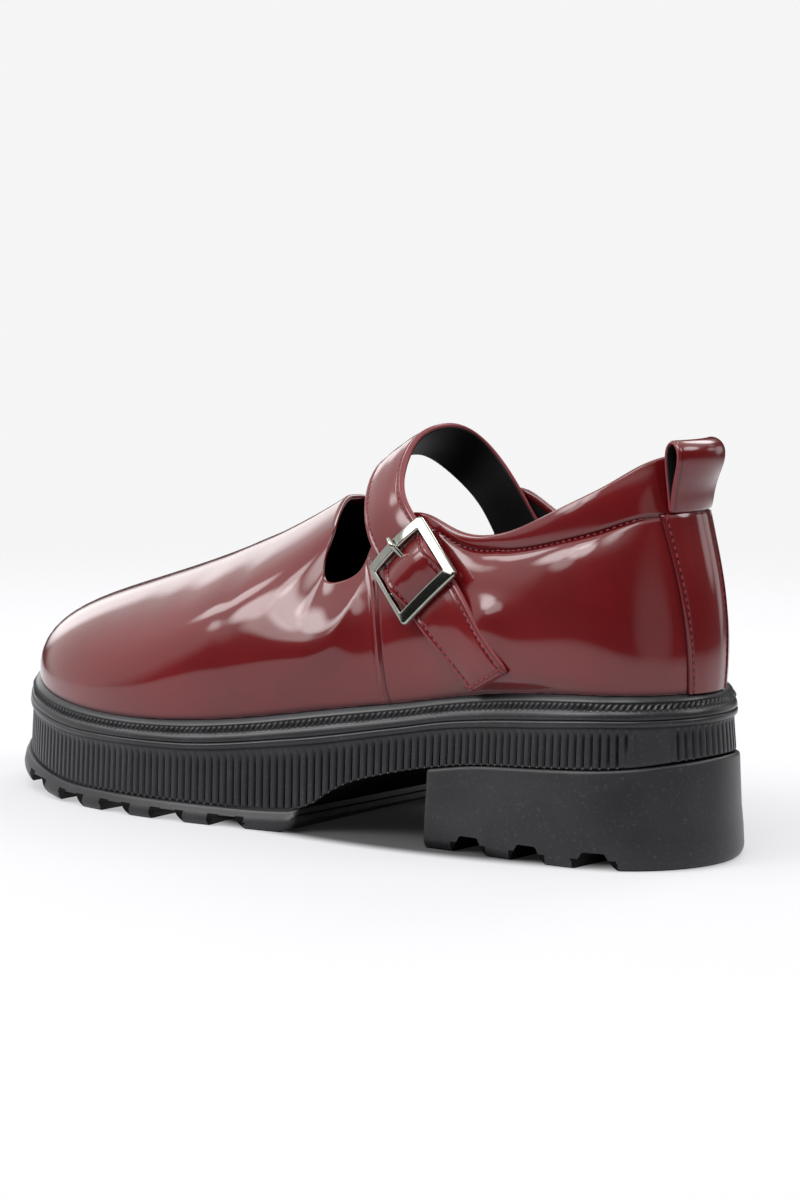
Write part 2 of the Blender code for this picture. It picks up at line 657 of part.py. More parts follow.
def strap_faces():
    """Outer and inner grids of the strap, from the tail's end to the medial ear."""
    sections = np.array([strap_section(kind, rear, front) for _, kind, rear, front in STRAP_SECTIONS])
    knots = chord_knots(sections[:, 1])
    at = np.linspace(0, knots[-1], STRAP_STEPS + 1)
    line = spline(knots, sections)(at)
    ahead = np.gradient(line, axis=0)
    width = line[:, 2:3] - line[:, 0:1]
    normal = np.cross(ahead, np.broadcast_to(width, ahead.shape))
    normal /= np.linalg.norm(normal, axis=2, keepdims=True)
    if normal[0, 1, 1] < 0:
        normal = -normal
    return line + normal * STRAP_THICK / 2, line - normal * STRAP_THICK / 2


def make_instep_strap(leather):
    outer, inner = strap_faces()
    strap = shell_solid("instep_strap", outer, inner, leather)
    cutter = tube_solid("prong_hole", prong_path(), PRONG_RADIUS + GAP, None)
    boolean(strap, cutter, "DIFFERENCE")


# ================================================================ the buckle
class BuckleFrame:
    """Plane of the buckle: its middle on the upper, along towards the tail, across, and out."""

    def __init__(self):
        self.middle, self.out = on_upper("lateral", BUCKLE_X, BUCKLE_Z, 0.0)
        down_back = np.array((-1.0, 0.0, -1.0))
        self.along = down_back - np.dot(down_back, self.out) * self.out
        self.along /= np.linalg.norm(self.along)
        self.across = np.cross(self.out, self.along)

    def at(self, along, across, out):
        return self.middle + along * self.along + across * self.across + out * self.out

    def surface(self, along):
        """Height of the upper over the buckle's own plane, that far along."""
        over = self.at(along, 0.0, 0.0)
        point, _ = on_upper("lateral", over[0], over[2], 0.0)
        return float(np.dot(point - self.middle, self.out))


BUCKLE = BuckleFrame()


def buckle_box(name, along, across, out, material=None):
    """Box between pairs of limits in the buckle's own directions."""
    points = [BUCKLE.at(a, b, c) for a in along for b in across for c in out]
    faces = ((0, 1, 3, 2), (4, 5, 7, 6), (0, 1, 5, 4), (2, 3, 7, 6), (0, 2, 6, 4), (1, 3, 7, 5))
    return add_solid(name, points, faces, material, smooth=False)


def make_buckle_frame(metal):
    """Square frame with its centre bar held between two short cheeks under the side bars."""
    half = BUCKLE_SIDE / 2
    inner = half - BUCKLE_BAR
    low, high = BUCKLE_STAND - BUCKLE_THICK / 2, BUCKLE_STAND + BUCKLE_THICK / 2
    outside = ((half, half), (-half, half), (-half, -half), (half, -half))
    inside = ((inner, inner), (-inner, inner), (-inner, -inner), (inner, -inner))
    rings = [[BUCKLE.at(a, b, level) for a, b in corners]
             for corners, level in ((outside, low), (outside, high), (inside, high), (inside, low))]
    points = np.vstack(rings)
    faces = []
    for ring in range(4):
        for k in range(4):
            a, b = ring * 4 + k, ring * 4 + (k + 1) % 4
            c = (ring + 1) % 4 * 4
            faces.append((a, b, c + (k + 1) % 4, c + k))
    frame = add_solid("buckle_frame", points, faces, metal, smooth=False)
    bevel = frame.modifiers.new("edges", "BEVEL")
    bevel.width = 0.5 * MM
    bevel.segments = 2
    for side in (-1, 1):
        limits = sorted((side * (inner + 0.3), side * (half - 0.4)))
        cheek = buckle_box(f"cheek_{side}", (-1.5, 1.5), limits, (PIN_STAND - PIN_RADIUS, low + 0.5))
        boolean(frame, cheek, "UNION")
    ends = (BUCKLE.at(0, -inner - 0.8, PIN_STAND), BUCKLE.at(0, inner + 0.8, PIN_STAND))
    boolean(frame, bar_solid("centre_bar", ends[0], ends[1], PIN_RADIUS), "UNION")


def bar_solid(name, start, end, radius, sides=16):
    """Straight round bar across the buckle."""
    points = []
    for point in (start, end):
        for k in range(sides):
            turn = 2 * math.pi * k / sides
            points.append(point + radius * (math.cos(turn) * BUCKLE.along + math.sin(turn) * BUCKLE.out))
    faces = [tuple(range(sides)), tuple(range(sides, 2 * sides))]
    faces += [(k, (k + 1) % sides, (k + 1) % sides + sides, k + sides) for k in range(sides)]
    return add_solid(name, points, faces, None)


def prong_path():
    """From the eye round the centre bar to the tip on the front bar."""
    eye = PIN_RADIUS + PIN_CLEARANCE + PRONG_RADIUS
    path = []
    for turn in np.radians(np.linspace(-150, 90, 13)):
        path.append(BUCKLE.at(eye * math.cos(turn), 0.0, PIN_STAND + eye * math.sin(turn)))
    rest = BUCKLE_STAND + BUCKLE_THICK / 2 + GAP + PRONG_RADIUS
    bar = BUCKLE_SIDE / 2 - BUCKLE_BAR / 2
    start = PIN_STAND + eye
    for share in (0.25, 0.5, 0.75, 1.0):
        lift = start + (rest - start) * share ** 0.8
        path.append(BUCKLE.at(-bar * share, 0.0, lift))
    path.append(BUCKLE.at(-BUCKLE_SIDE / 2 - 1.0, 0.0, rest))
    return path


def make_buckle_prong(metal):
    tube_solid("buckle_prong", prong_path(), PRONG_RADIUS, metal)


def make_buckle_chape(leather):
    """Leather fold round the centre bar, slotted for the prong's eye, with one leg on the quarter."""
    outer = PIN_RADIUS + PIN_CLEARANCE + CHAPE_THICK
    profile = []
    reach = np.linspace(CHAPE_LENGTH, 2.0, 7)
    for a in reach:
        profile.append((a, BUCKLE.surface(a) + GAP + 0.1))
    for turn in np.radians(np.linspace(-75, -300, 14)):
        profile.append((outer * math.cos(turn), PIN_STAND + outer * math.sin(turn)))
    for a in reach[::-1][1:]:
        profile.append((a, BUCKLE.surface(a) + GAP + 0.1 + CHAPE_THICK))
    count = len(profile)
    points = [BUCKLE.at(a, b, h) for b in (-CHAPE_HALF, CHAPE_HALF) for a, h in profile]
    faces = [tuple(range(count)), tuple(range(count, 2 * count))]
    faces += [(k, (k + 1) % count, (k + 1) % count + count, k + count) for k in range(count)]
    chape = add_solid("buckle_chape", points, faces, leather)
    ends = (BUCKLE.at(0, -CHAPE_HALF - 1, PIN_STAND), BUCKLE.at(0, CHAPE_HALF + 1, PIN_STAND))
    boolean(chape, bar_solid("chape_bore", ends[0], ends[1], PIN_RADIUS + PIN_CLEARANCE), "DIFFERENCE")
    slot = PRONG_RADIUS + 0.4
    cut = buckle_box("chape_slot", (-4.0, 3.2), (-slot, slot), (-2.0, 8.0))
    boolean(chape, cut, "DIFFERENCE")


# ================================================================ the shoe
def make_shoe():
    for old in list(bpy.data.objects):
        bpy.data.objects.remove(old, do_unlink=True)
    leather = make_material("burgundy_patent", (0.16, 0.008, 0.014), 0.12)
    lining = make_material("black_lining", (0.012, 0.011, 0.012), 0.7)
    rubber = make_material("black_rubber", (0.018, 0.018, 0.02), 0.55)
    metal = make_material("bright_nickel", (0.75, 0.74, 0.71), 0.15, 1.0)
    make_heel_block(rubber)
    make_forefoot_tread(rubber)
    make_midsole(rubber)
    make_welt(rubber)
    make_insole(lining)
    make_upper(leather)
    make_back_strip(leather)
    make_pull_loop(leather)
    make_instep_strap(leather)
    make_buckle_frame(metal)
    make_buckle_prong(metal)
    make_buckle_chape(leather)


make_shoe()
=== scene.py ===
# %% [markdown]
# # A left platform shoe with a buckled instep strap
# The CAD model gives the frame: every solid of the shoe at its real size.  This lesson builds what the
# eye sees around it: leather with its seams, the sewn strap, the moulded rubber, the metal.
# The pieces are made from plain grids and cubes whose points are moved on to the shoe's own curves.

# %% The fixed frame
import math

import bpy
import numpy as np
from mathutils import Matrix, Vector


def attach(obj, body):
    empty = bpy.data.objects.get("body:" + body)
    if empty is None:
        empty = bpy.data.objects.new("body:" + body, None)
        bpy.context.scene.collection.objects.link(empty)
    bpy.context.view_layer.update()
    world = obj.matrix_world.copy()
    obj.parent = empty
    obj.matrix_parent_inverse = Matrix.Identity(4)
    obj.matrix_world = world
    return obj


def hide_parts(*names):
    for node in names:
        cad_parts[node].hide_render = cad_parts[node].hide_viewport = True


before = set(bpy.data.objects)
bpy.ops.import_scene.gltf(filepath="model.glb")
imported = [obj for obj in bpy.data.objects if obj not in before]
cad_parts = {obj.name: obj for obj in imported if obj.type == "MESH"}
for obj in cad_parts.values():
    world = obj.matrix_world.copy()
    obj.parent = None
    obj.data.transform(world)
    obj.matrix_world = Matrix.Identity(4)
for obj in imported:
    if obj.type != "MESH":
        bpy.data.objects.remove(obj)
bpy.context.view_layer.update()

MM = 0.001

# %% [markdown]
# ## Curves
# A shoe is drawn with two kinds of line.  A sole's long lines may never overshoot between their marks,
# so they are joined by a shape-keeping curve.  A last has no flat spots at all, so its lines are
# splines whose bending changes smoothly.  Both are a few lines of numpy.


# %% Lines through marks
def long_line(table, x):
    """Height at x through (x, height) marks, without overshoot."""
    xs, ys = np.array(table, float).T
    x = np.clip(np.asarray(x, float), xs[0], xs[-1])
    step = np.diff(xs)
    rise = np.diff(ys) / step
    slope = np.zeros(len(xs))
    for i in range(1, len(xs) - 1):
        if rise[i - 1] * rise[i] > 0:
            w1, w2 = 2 * step[i] + step[i - 1], step[i] + 2 * step[i - 1]
            slope[i] = (w1 + w2) / (w1 / rise[i - 1] + w2 / rise[i])
    slope[0], slope[-1] = rise[0], rise[-1]
    k = np.clip(np.searchsorted(xs, x, side="right") - 1, 0, len(xs) - 2)
    t = (x - xs[k]) / step[k]
    return ((1 + 2 * t) * (1 - t) ** 2 * ys[k] + t * (1 - t) ** 2 * step[k] * slope[k]
            + t ** 2 * (3 - 2 * t) * ys[k + 1] + t ** 2 * (t - 1) * step[k] * slope[k + 1])


def spline(knots, values, closed=False):
    """Smooth curve through the values, as a function of the knot value."""
    t, v = np.asarray(knots, float), np.asarray(values, float)
    n, h = len(t), np.diff(t)
    a, b = np.zeros((n, n)), np.zeros((n,) + v.shape[1:])
    for i in range(1, n - 1):
        a[i, i - 1:i + 2] = h[i - 1], 2 * (h[i - 1] + h[i]), h[i]
        b[i] = 6 * ((v[i + 1] - v[i]) / h[i] - (v[i] - v[i - 1]) / h[i - 1])
    if closed:
        a[0, 0], a[0, 1], a[0, -2] = 2 * (h[-1] + h[0]), h[0], h[-1]
        b[0] = 6 * ((v[1] - v[0]) / h[0] - (v[-1] - v[-2]) / h[-1])
        a[-1, 0], a[-1, -1] = 1, -1
    else:
        a[0, 0] = a[-1, -1] = 1
    bend = np.linalg.solve(a, b.reshape(n, -1)).reshape(b.shape)

    def curve(x):
        x = np.atleast_1d(np.asarray(x, float))
        if closed:
            x = t[0] + np.mod(x - t[0], t[-1] - t[0])
        k = np.clip(np.searchsorted(t, x, side="right") - 1, 0, n - 2)
        shape = (-1,) + (1,) * (v.ndim - 1)
        hk, p = h[k].reshape(shape), ((t[k + 1] - x) / h[k]).reshape(shape)
        q = 1 - p
        return (p * v[k] + q * v[k + 1]
                + ((p ** 3 - p) * bend[k] + (q ** 3 - q) * bend[k + 1]) * hk ** 2 / 6)

    return curve


print("lines through marks ready")


# %% Lengths, unit vectors and smooth steps
def running_length(points):
    """Length along a row of points, from its first one."""
    return np.concatenate(([0.0], np.cumsum(np.linalg.norm(np.diff(points, axis=0), axis=1))))


def unit(vectors):
    """The same vectors, each of length 1."""
    return vectors / np.linalg.norm(vectors, axis=-1, keepdims=True)


def rows_at(at, length, rows):
    """Rows of a table at the lengths wanted; length is where each row of the table stands."""
    return np.column_stack([np.interp(at, length, column) for column in rows.T])


def hill(x, width):
    """Smooth bump of height 1 round x = 0."""
    return np.exp(-(x / width) ** 2)


def ramp(x, low, high):
    """0 below low, 1 above high, smooth between them."""
    t = np.clip((x - low) / (high - low), 0, 1)
    return t * t * (3 - 2 * t)


print("lengths and steps ready")


# %% [markdown]
# ## The sole's outline and the last
# The numbers here are the CAD source's own, in millimetres, with x counted from the back of the heel
# and y from its middle line.  The upper is one surface: ribs that stand on the feather line, where the
# leather meets the sole, and end at the collar.  s runs round the shoe from the back of the heel over
# the outer side, and t runs up a rib.

# %% The sole's outline and long lines
SOLE_LENGTH, BALL_WIDTH, HEEL_RADIUS = 275.0, 102.0, 35.0
HEEL_BREAST, TREAD_BACK, GAP = 84.0, 128.0, 0.3
FEATHER_INSET, PLAN_STEPS = 5.6, 720
PLAN = ((0.255, 0.352), (0.400, 0.402), (0.545, 0.486), (0.670, 0.530), (0.800, 0.500), (0.912, 0.375),
        (0.978, 0.177), (1.000, -0.055), (0.977, -0.275), (0.905, -0.405), (0.790, -0.468),
        (0.680, -0.465), (0.545, -0.392), (0.400, -0.318), (0.255, -0.326))
HEEL_TOP = ((0, 31.8), (14, 29.8), (41, 28.0), (66, 26.3), (84, 23.6))
BAND_FOOT = ((0, 32.1), (14, 30.1), (41, 28.3), (66, 26.6), (84, 23.9), (102, 19.8), (111, 16.9),
             (118, 13.2), (124, 9.2), (132, 6.8), (150, 6.2), (215, 6.4), (245, 9.6), (275, 16.0))
BAND_TOP = ((0, 41.6), (20, 41.2), (44, 39.4), (77, 36.0), (95, 32.6), (129, 26.6), (175, 22.0),
            (215, 21.6), (250, 25.0), (275, 30.5))
FEATHER = ((0, 50.9), (30, 50.5), (53, 49.0), (75, 46.0), (92, 42.9), (115, 39.3), (130, 36.8),
           (150, 33.7), (175, 31.2), (200, 30.4), (230, 31.7), (255, 34.8), (275, 38.4))

seat = [(HEEL_RADIUS * (1 - math.cos(a)), HEEL_RADIUS * math.sin(a)) for a in np.radians((0, 30, 60, 90))]
marks = np.array(seat + [(a * SOLE_LENGTH, b * BALL_WIDTH) for a, b in PLAN]
                 + [(x, -y) for x, y in reversed(seat)])
knots = running_length(marks)
OUTER = spline(knots, marks, closed=True)(np.linspace(0, knots[-1], PLAN_STEPS + 1)[:-1])
ahead = unit(np.roll(OUTER, -1, axis=0) - np.roll(OUTER, 1, axis=0))
OUTWARD = np.column_stack((-ahead[:, 1], ahead[:, 0]))
TIP = int(np.argmax(OUTER[:, 0]))
RING = np.linspace(0, 1, PLAN_STEPS + 1)
plan_at = spline(RING, np.vstack((OUTER, OUTER[:1])), closed=True)
out_at = spline(RING, np.vstack((OUTWARD, OUTWARD[:1])), closed=True)
feather = spline(*np.array(FEATHER, float).T)
SHIFT = np.append(-(OUTER.min(axis=0) + OUTER.max(axis=0)) / 2, 0.0)
print("shift from table to frame:", SHIFT.round(3))

# %% The upper's top edge and the shape of its ribs
# Each row of an edge: x on the sole where the rib stands, then the point of the edge itself.
TOP_EDGE_LATERAL = (
    (0.0, 15.1, 0.0, 119.5), (13.0, 20.6, 14.2, 116.6), (25.0, 27.8, 21.0, 111.2),
    (40.0, 40.0, 25.4, 104.8), (62.0, 60.0, 27.0, 96.2), (82.0, 78.0, 27.4, 95.4),
    (94.0, 89.5, 26.6, 99.0), (104.0, 100.5, 25.6, 98.6), (114.0, 110.2, 27.0, 91.6),
    (122.0, 113.0, 30.2, 82.4), (131.0, 120.4, 31.4, 77.8), (143.0, 127.8, 30.4, 77.6),
    (158.0, 130.8, 25.4, 86.2), (190.0, 135.2, 17.0, 94.0), (228.0, 140.2, 7.4, 98.9),
    (275.0, 141.6, 0.0, 100.4))
TOP_EDGE_MEDIAL = (
    (228.0, 140.2, -7.4, 98.9), (190.0, 135.2, -17.0, 94.0), (158.0, 130.8, -25.2, 86.4),
    (143.0, 126.6, -29.8, 78.4), (131.0, 118.4, -31.0, 78.6), (122.0, 111.4, -30.4, 84.0),
    (114.0, 108.6, -28.6, 92.2), (106.0, 104.2, -26.6, 101.4), (98.0, 95.4, -26.8, 103.0),
    (84.0, 81.6, -27.8, 96.2), (64.0, 61.0, -27.0, 96.2), (40.0, 40.0, -25.2, 104.8),
    (25.0, 27.8, -21.0, 111.2), (13.0, 20.6, -14.2, 116.6))
# Each row of a rib: x of its foot, then the wall's height and swell at the foot, how the rib comes into
# the top edge (share of the way back, swell, drop), and the fullness of its middle (out, up).
RIB_SHAPE = (
    (0.0, 14.5, 1.5, 0.00, 0.8, 15.0, 3.9, -1.5),
    (40.0, 15.0, 2.4, 0.00, 3.0, 14.0, 3.2, 0.5),
    (80.0, 14.0, 3.0, 0.04, 3.6, 13.0, 2.8, 0.5),
    (115.0, 14.0, 3.6, 0.08, 4.4, 13.0, 2.6, 0.5),
    (145.0, 15.0, 3.8, 0.16, 7.0, 12.0, 3.0, 3.0),
    (175.0, 17.0, 3.8, 0.24, 7.0, 13.5, 4.4, 4.5),
    (205.0, 19.0, 3.4, 0.29, 4.0, 17.5, 4.6, 1.8),
    (235.0, 21.0, 3.0, 0.30, 1.5, 20.8, 5.0, -2.4),
    (275.0, 24.0, 3.0, 0.30, 0.0, 22.5, 6.5, -6.0))


def foot_share(x, side):
    """Place on the outline, from 0 to 1, of the rib that stands at x."""
    half = OUTER[:TIP + 1] if side > 0 else np.vstack((OUTER[TIP:], OUTER[:1]))[::-1]
    place = np.interp(x, half[:, 0], np.arange(len(half)))
    return (place if side > 0 else PLAN_STEPS - place) / PLAN_STEPS


edge_rows = [(row, 1) for row in TOP_EDGE_LATERAL] + [(row, -1) for row in TOP_EDGE_MEDIAL]
places = np.array([foot_share(row[0], side) for row, side in edge_rows] + [1.0])
edges = np.array([row[1:] for row, _ in edge_rows] + [TOP_EDGE_LATERAL[0][1:]])
feet = OUTER[(places * PLAN_STEPS).astype(int) % PLAN_STEPS]
knots = (running_length(feet) + running_length(edges)) / 2
knots /= knots[-1]
place_drift = spline(knots, places - knots, closed=True)
top_edge = spline(knots, edges, closed=True)
rib_shape = spline([row[0] for row in RIB_SHAPE], [row[1:] for row in RIB_SHAPE])
UP = np.array((0.0, 0.0, 1.0))
print("marks of the top edge:", len(edge_rows), "and ribs with a shape of their own:", len(RIB_SHAPE))


# %% Points and normals of the last
NORMAL_STEP, SEARCH_STEP, SEARCH_ROUNDS = 2e-4, 1e-4, 8
SIDE_SPANS = {"lateral": (0.02, 0.46), "medial": (0.54, 0.98)}      # part of the ring that each side takes


def last_at(s, t):
    """Points of the upper's outer face; s and t are arrays of one shape."""
    s, t = np.broadcast_arrays(np.asarray(s, float), np.asarray(t, float))
    shape, s, t = s.shape, s.ravel(), t.ravel()
    place = s + place_drift(s)
    out = np.column_stack((out_at(place), np.zeros(len(s))))
    plan = plan_at(place)
    wall, swell, back, lead, fall, full_out, full_up = rib_shape(plan[:, 0]).T[:, :, None]
    foot = np.column_stack((plan, feather(plan[:, 0]))) - FEATHER_INSET * out
    top = top_edge(s)
    low = foot + swell * out + wall * UP
    high = top + back * (foot - top) * (1, 1, 0) + lead * out - fall * UP
    middle = (low + high) / 2 + full_out * out + full_up * UP
    points = np.zeros((len(s), 3))
    for k, control in enumerate((foot, low, middle, high, top)):
        points += (math.comb(4, k) * t ** k * (1 - t) ** (4 - k))[:, None] * control
    return points.reshape(shape + (3,))


def last_normal(s, t):
    """Outward unit normals of the last at the same kind of arrays."""
    along = last_at(s + NORMAL_STEP, t) - last_at(s - NORMAL_STEP, t)
    rise = last_at(s, t + NORMAL_STEP) - last_at(s, t - NORMAL_STEP)
    return unit(np.cross(rise, along))


def on_last(side, x, z, stand=0.0):
    """The point at (x, z) on one side, that far out of the leather, and the normal there."""
    grid_s, grid_t = np.linspace(*SIDE_SPANS[side], 60), np.linspace(0.0, 1.0, 30)
    grid = last_at(grid_s[:, None], grid_t[None, :])
    i, j = np.unravel_index(np.argmin((grid[..., 0] - x) ** 2 + (grid[..., 2] - z) ** 2), grid.shape[:2])
    s, t = grid_s[i], grid_t[j]
    for _ in range(SEARCH_ROUNDS):
        here, by_s, by_t = last_at(np.array((s, s + SEARCH_STEP, s)), np.array((t, t, t + SEARCH_STEP)))
        slopes = np.array((by_s - here, by_t - here)).T[[0, 2]] / SEARCH_STEP
        move = np.linalg.solve(slopes, (x - here[0], z - here[2]))
        s, t = s + move[0], t + move[1]
    here = last_at(np.array((s,)), np.array((t,)))[0]
    normal = last_normal(np.array((s,)), np.array((t,)))[0]
    return here + stand * normal, normal


heights = last_at(np.array((0.0, 0.25, 0.5)), np.array((1.0, 1.0, 1.0)))[:, 2]
print("top edge at the heel, the ear and the throat, mm:", heights.round(1))

# %% [markdown]
# ## Making a piece
# A few helpers make nearly all of the shoe.  `sheet` adds a grid and moves each of its points to its
# place, the way a cut piece is laid on a last.  `seal` merges the points that meet and turns the faces
# outwards.  `slab` gives the points of a piece with thickness and softly rounded edges: its top and its
# underside meet all round its rim.  `cut_piece` takes all the steps, from the grid to the finish.


# %% Adding and sealing a piece
def alone(piece):
    """Selects one piece and nothing else, and makes it active."""
    bpy.ops.object.select_all(action="DESELECT")
    piece.select_set(True)
    bpy.context.view_layer.objects.active = piece


def add_object(name, data):
    """Adds an object with that data to the scene."""
    made = bpy.data.objects.new(name, data)
    bpy.context.scene.collection.objects.link(made)
    return made


def add_mesh(name, points, faces):
    """Adds a piece from points in millimetres and faces by point number."""
    mesh = bpy.data.meshes.new(name)
    mesh.from_pydata(((points + SHIFT) * MM).tolist(), [], faces)
    return add_object(name, mesh)


def sheet(name, points):
    """Adds a grid of columns x rows and moves its points to the table points, in millimetres."""
    columns, rows = points.shape[:2]
    bpy.ops.object.select_all(action="DESELECT")
    bpy.ops.mesh.primitive_grid_add(x_subdivisions=columns - 1, y_subdivisions=rows - 1, size=1)
    piece = bpy.context.object
    piece.name = piece.data.name = name
    at = np.empty(len(piece.data.vertices) * 3, np.float32)
    piece.data.vertices.foreach_get("co", at)
    at = at.reshape(-1, 3) + 0.5
    i = np.rint(at[:, 0] * (columns - 1)).astype(int)
    j = np.rint(at[:, 1] * (rows - 1)).astype(int)
    placed = ((points[i, j] + SHIFT) * MM).astype(np.float32)
    piece.data.vertices.foreach_set("co", placed.ravel())
    piece.data.update()
    return piece


def seal(piece, merge=2e-6, angle=50.0, bridge=False):
    """Merges what meets, turns the faces outwards and shades them smooth up to that angle; bridge
    closes the gap between two open edges first."""
    alone(piece)
    bpy.ops.object.mode_set(mode="EDIT")
    bpy.ops.mesh.select_all(action="SELECT")
    bpy.ops.mesh.remove_doubles(threshold=merge)
    if bridge:
        bpy.ops.mesh.select_all(action="DESELECT")
        bpy.ops.mesh.select_non_manifold(extend=False)
        bpy.ops.mesh.bridge_edge_loops()
        bpy.ops.mesh.select_all(action="SELECT")
    bpy.ops.mesh.dissolve_degenerate(threshold=merge / 2)
    bpy.ops.mesh.normals_make_consistent(inside=False)
    bpy.ops.object.mode_set(mode="OBJECT")
    bpy.ops.object.shade_smooth_by_angle(angle=math.radians(angle))
    return piece


print("sheet and seal ready")


# %% Finishing a piece
def finish_piece(piece, material, slot, *replaced):
    """Gives a piece its finish, lets it ride on the shoe and hides the CAD parts it stands in for."""
    piece.data.materials.clear()
    piece.data.materials.append(material)
    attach(piece, "root")
    if replaced:
        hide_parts(*replaced)
    triangles = sum(len(face.vertices) - 2 for face in piece.data.polygons)
    print(f"{piece.name}: {triangles} triangles")
    return piece


def cut_piece(name, grid, material, slot, *replaced, paint=None, angle=50.0, bridge=False):
    """A finished piece from a grid; paint is the painted shade in its seams and grooves, one value for each
    point of the grid.
    """
    piece = sheet(name, grid)
    if paint is not None:
        layer = piece.data.attributes.new("seam", "FLOAT", "POINT")
        layer.data.foreach_set("value", np.ascontiguousarray(paint.T.ravel(), dtype=np.float32))
    return finish_piece(seal(piece, angle=angle, bridge=bridge), material, slot, *replaced)


print("cut_piece ready")


# %% Sections of cut pieces
def marks_along(length, step, rim):
    """Distances from 0 to length, close together inside the rounded rim at both ends."""
    start = rim * (1 - np.cos(np.linspace(0, math.pi / 2, 5)))
    inside = np.linspace(rim, length - rim, max(2, int(round((length - 2 * rim) / step)) + 1))
    return np.concatenate((start[:-1], inside, (length - start[::-1])[1:]))


def rim_shape(distance, rim):
    """1 inside a piece, falling to 0 at its edge like a quarter circle."""
    return np.sqrt(np.clip(1 - (1 - np.clip(distance / rim, 0, 1)) ** 2, 0, 1))


def wrap(over, under):
    """Rows of the top side, then those of the underside on the way back."""
    return np.concatenate((over, under[:, ::-1][:, 1:]), axis=1)


def slab(middle, normal, top, bottom):
    """Closed section round a middle grid: top and bottom are heights along the normal."""
    return wrap(middle + normal * top[..., None], middle + normal * bottom[..., None])


print("slab ready")

# %% [markdown]
# ## Finishes
# Patent leather is a deep colour under a clear, hard film.  The colour is soft and a little uneven, the
# film is almost a mirror, and what makes it leather and not glass is that the film is never quite flat.
# Three shader groups are shared: the waviness and grain of leather, a colour that turns to real dust on
# the rubber and to painted shade where the mesh is painted near seams, grooves and edges, and the pits
# and dust of rubber.


# %% Shader helpers
def add(tree, kind, inputs=(), **settings):
    """Adds a node; settings are its properties, inputs are values or sockets by name or number."""
    made = tree.nodes.new("ShaderNode" + kind)
    for label, value in settings.items():
        setattr(made, label, value)
    for label, value in dict(inputs).items():
        if isinstance(value, bpy.types.NodeSocket):
            tree.links.new(value, made.inputs[label])
        else:
            made.inputs[label].default_value = value
    return made


def math_node(tree, operation, *values, clamp=False):
    """Math node fed by values or sockets; gives its result."""
    return add(tree, "Math", enumerate(values), operation=operation, use_clamp=clamp).outputs[0]


def noise(tree, vector, scale, detail, roughness=0.5):
    """Noise texture on a vector; gives its value."""
    inputs = {"Vector": vector, "Scale": scale, "Detail": detail, "Roughness": roughness}
    return add(tree, "TexNoise", inputs).outputs["Fac"]


def levels(tree, value, low, high, first=0.0, last=1.0, kind="SMOOTHSTEP"):
    """Takes a value between low and high to one between first and last."""
    inputs = {"Value": value, "From Min": low, "From Max": high, "To Min": first, "To Max": last}
    return add(tree, "MapRange", inputs, interpolation_type=kind).outputs["Result"]


def mix(tree, share, first, second):
    """Colour between two colours."""
    return add(tree, "Mix", {"Factor": share, "A": first, "B": second}, data_type="RGBA").outputs["Result"]


def new_group(name, outputs, **inputs):
    """Node group fed by a position and the inputs; gives it, what it is given and what it gives."""
    group = bpy.data.node_groups.new(name, "ShaderNodeTree")
    group.interface.new_socket("Position", in_out="INPUT", socket_type="NodeSocketVector")
    for label, value in inputs.items():
        kind = "NodeSocketColor" if isinstance(value, tuple) else "NodeSocketFloat"
        label = label.replace("_", " ")
        group.interface.new_socket(label, in_out="INPUT", socket_type=kind).default_value = value
    for label, kind in outputs.items():
        group.interface.new_socket(label, in_out="OUTPUT", socket_type=kind)
    return group, group.nodes.new("NodeGroupInput").outputs, group.nodes.new("NodeGroupOutput").inputs


print("shader helpers ready")

# %% Shared shader groups
# slow waviness and grain, both in metres of height
WAVY, given, gives = new_group("leather_surface", {"Height": "NodeSocketFloat"},
                               Wave_Height=0.0001, Grain_Height=0.00002, Grain_Scale=900.0)
position = given["Position"]
middling = math_node(WAVY, "MULTIPLY", noise(WAVY, position, 190.0, 1.0), 0.22)
waves = math_node(WAVY, "ADD", noise(WAVY, position, 55.0, 1.0), middling)
waves = math_node(WAVY, "MULTIPLY", waves, given["Wave Height"])
grains = noise(WAVY, position, given["Grain Scale"], 3.0)
grains = math_node(WAVY, "MULTIPLY", grains, given["Grain Height"])
WAVY.links.new(math_node(WAVY, "ADD", waves, grains), gives["Height"])

# colour that drifts a little, and turns to a second colour by a share: real dust on the rubber, painted
# shade in the seams and grooves of the leather and the rubber
DUST_AND_SHADE, given, gives = new_group(
    "dust_and_shade_colour", {"Colour": "NodeSocketColor"}, Colour=(0.5, 0.5, 0.5, 1),
    Drift_Colour=(0.4, 0.4, 0.4, 1), Seam_Colour=(0.1, 0.1, 0.1, 1), Wear=0.0, Drift_Scale=30.0)
drift = noise(DUST_AND_SHADE, given["Position"], given["Drift Scale"], 3.0)
drift = levels(DUST_AND_SHADE, drift, 0.35, 0.65, kind="LINEAR")
drifted = mix(DUST_AND_SHADE, drift, given["Colour"], given["Drift Colour"])
DUST_AND_SHADE.links.new(mix(DUST_AND_SHADE, given["Wear"], drifted, given["Seam Colour"]), gives["Colour"])

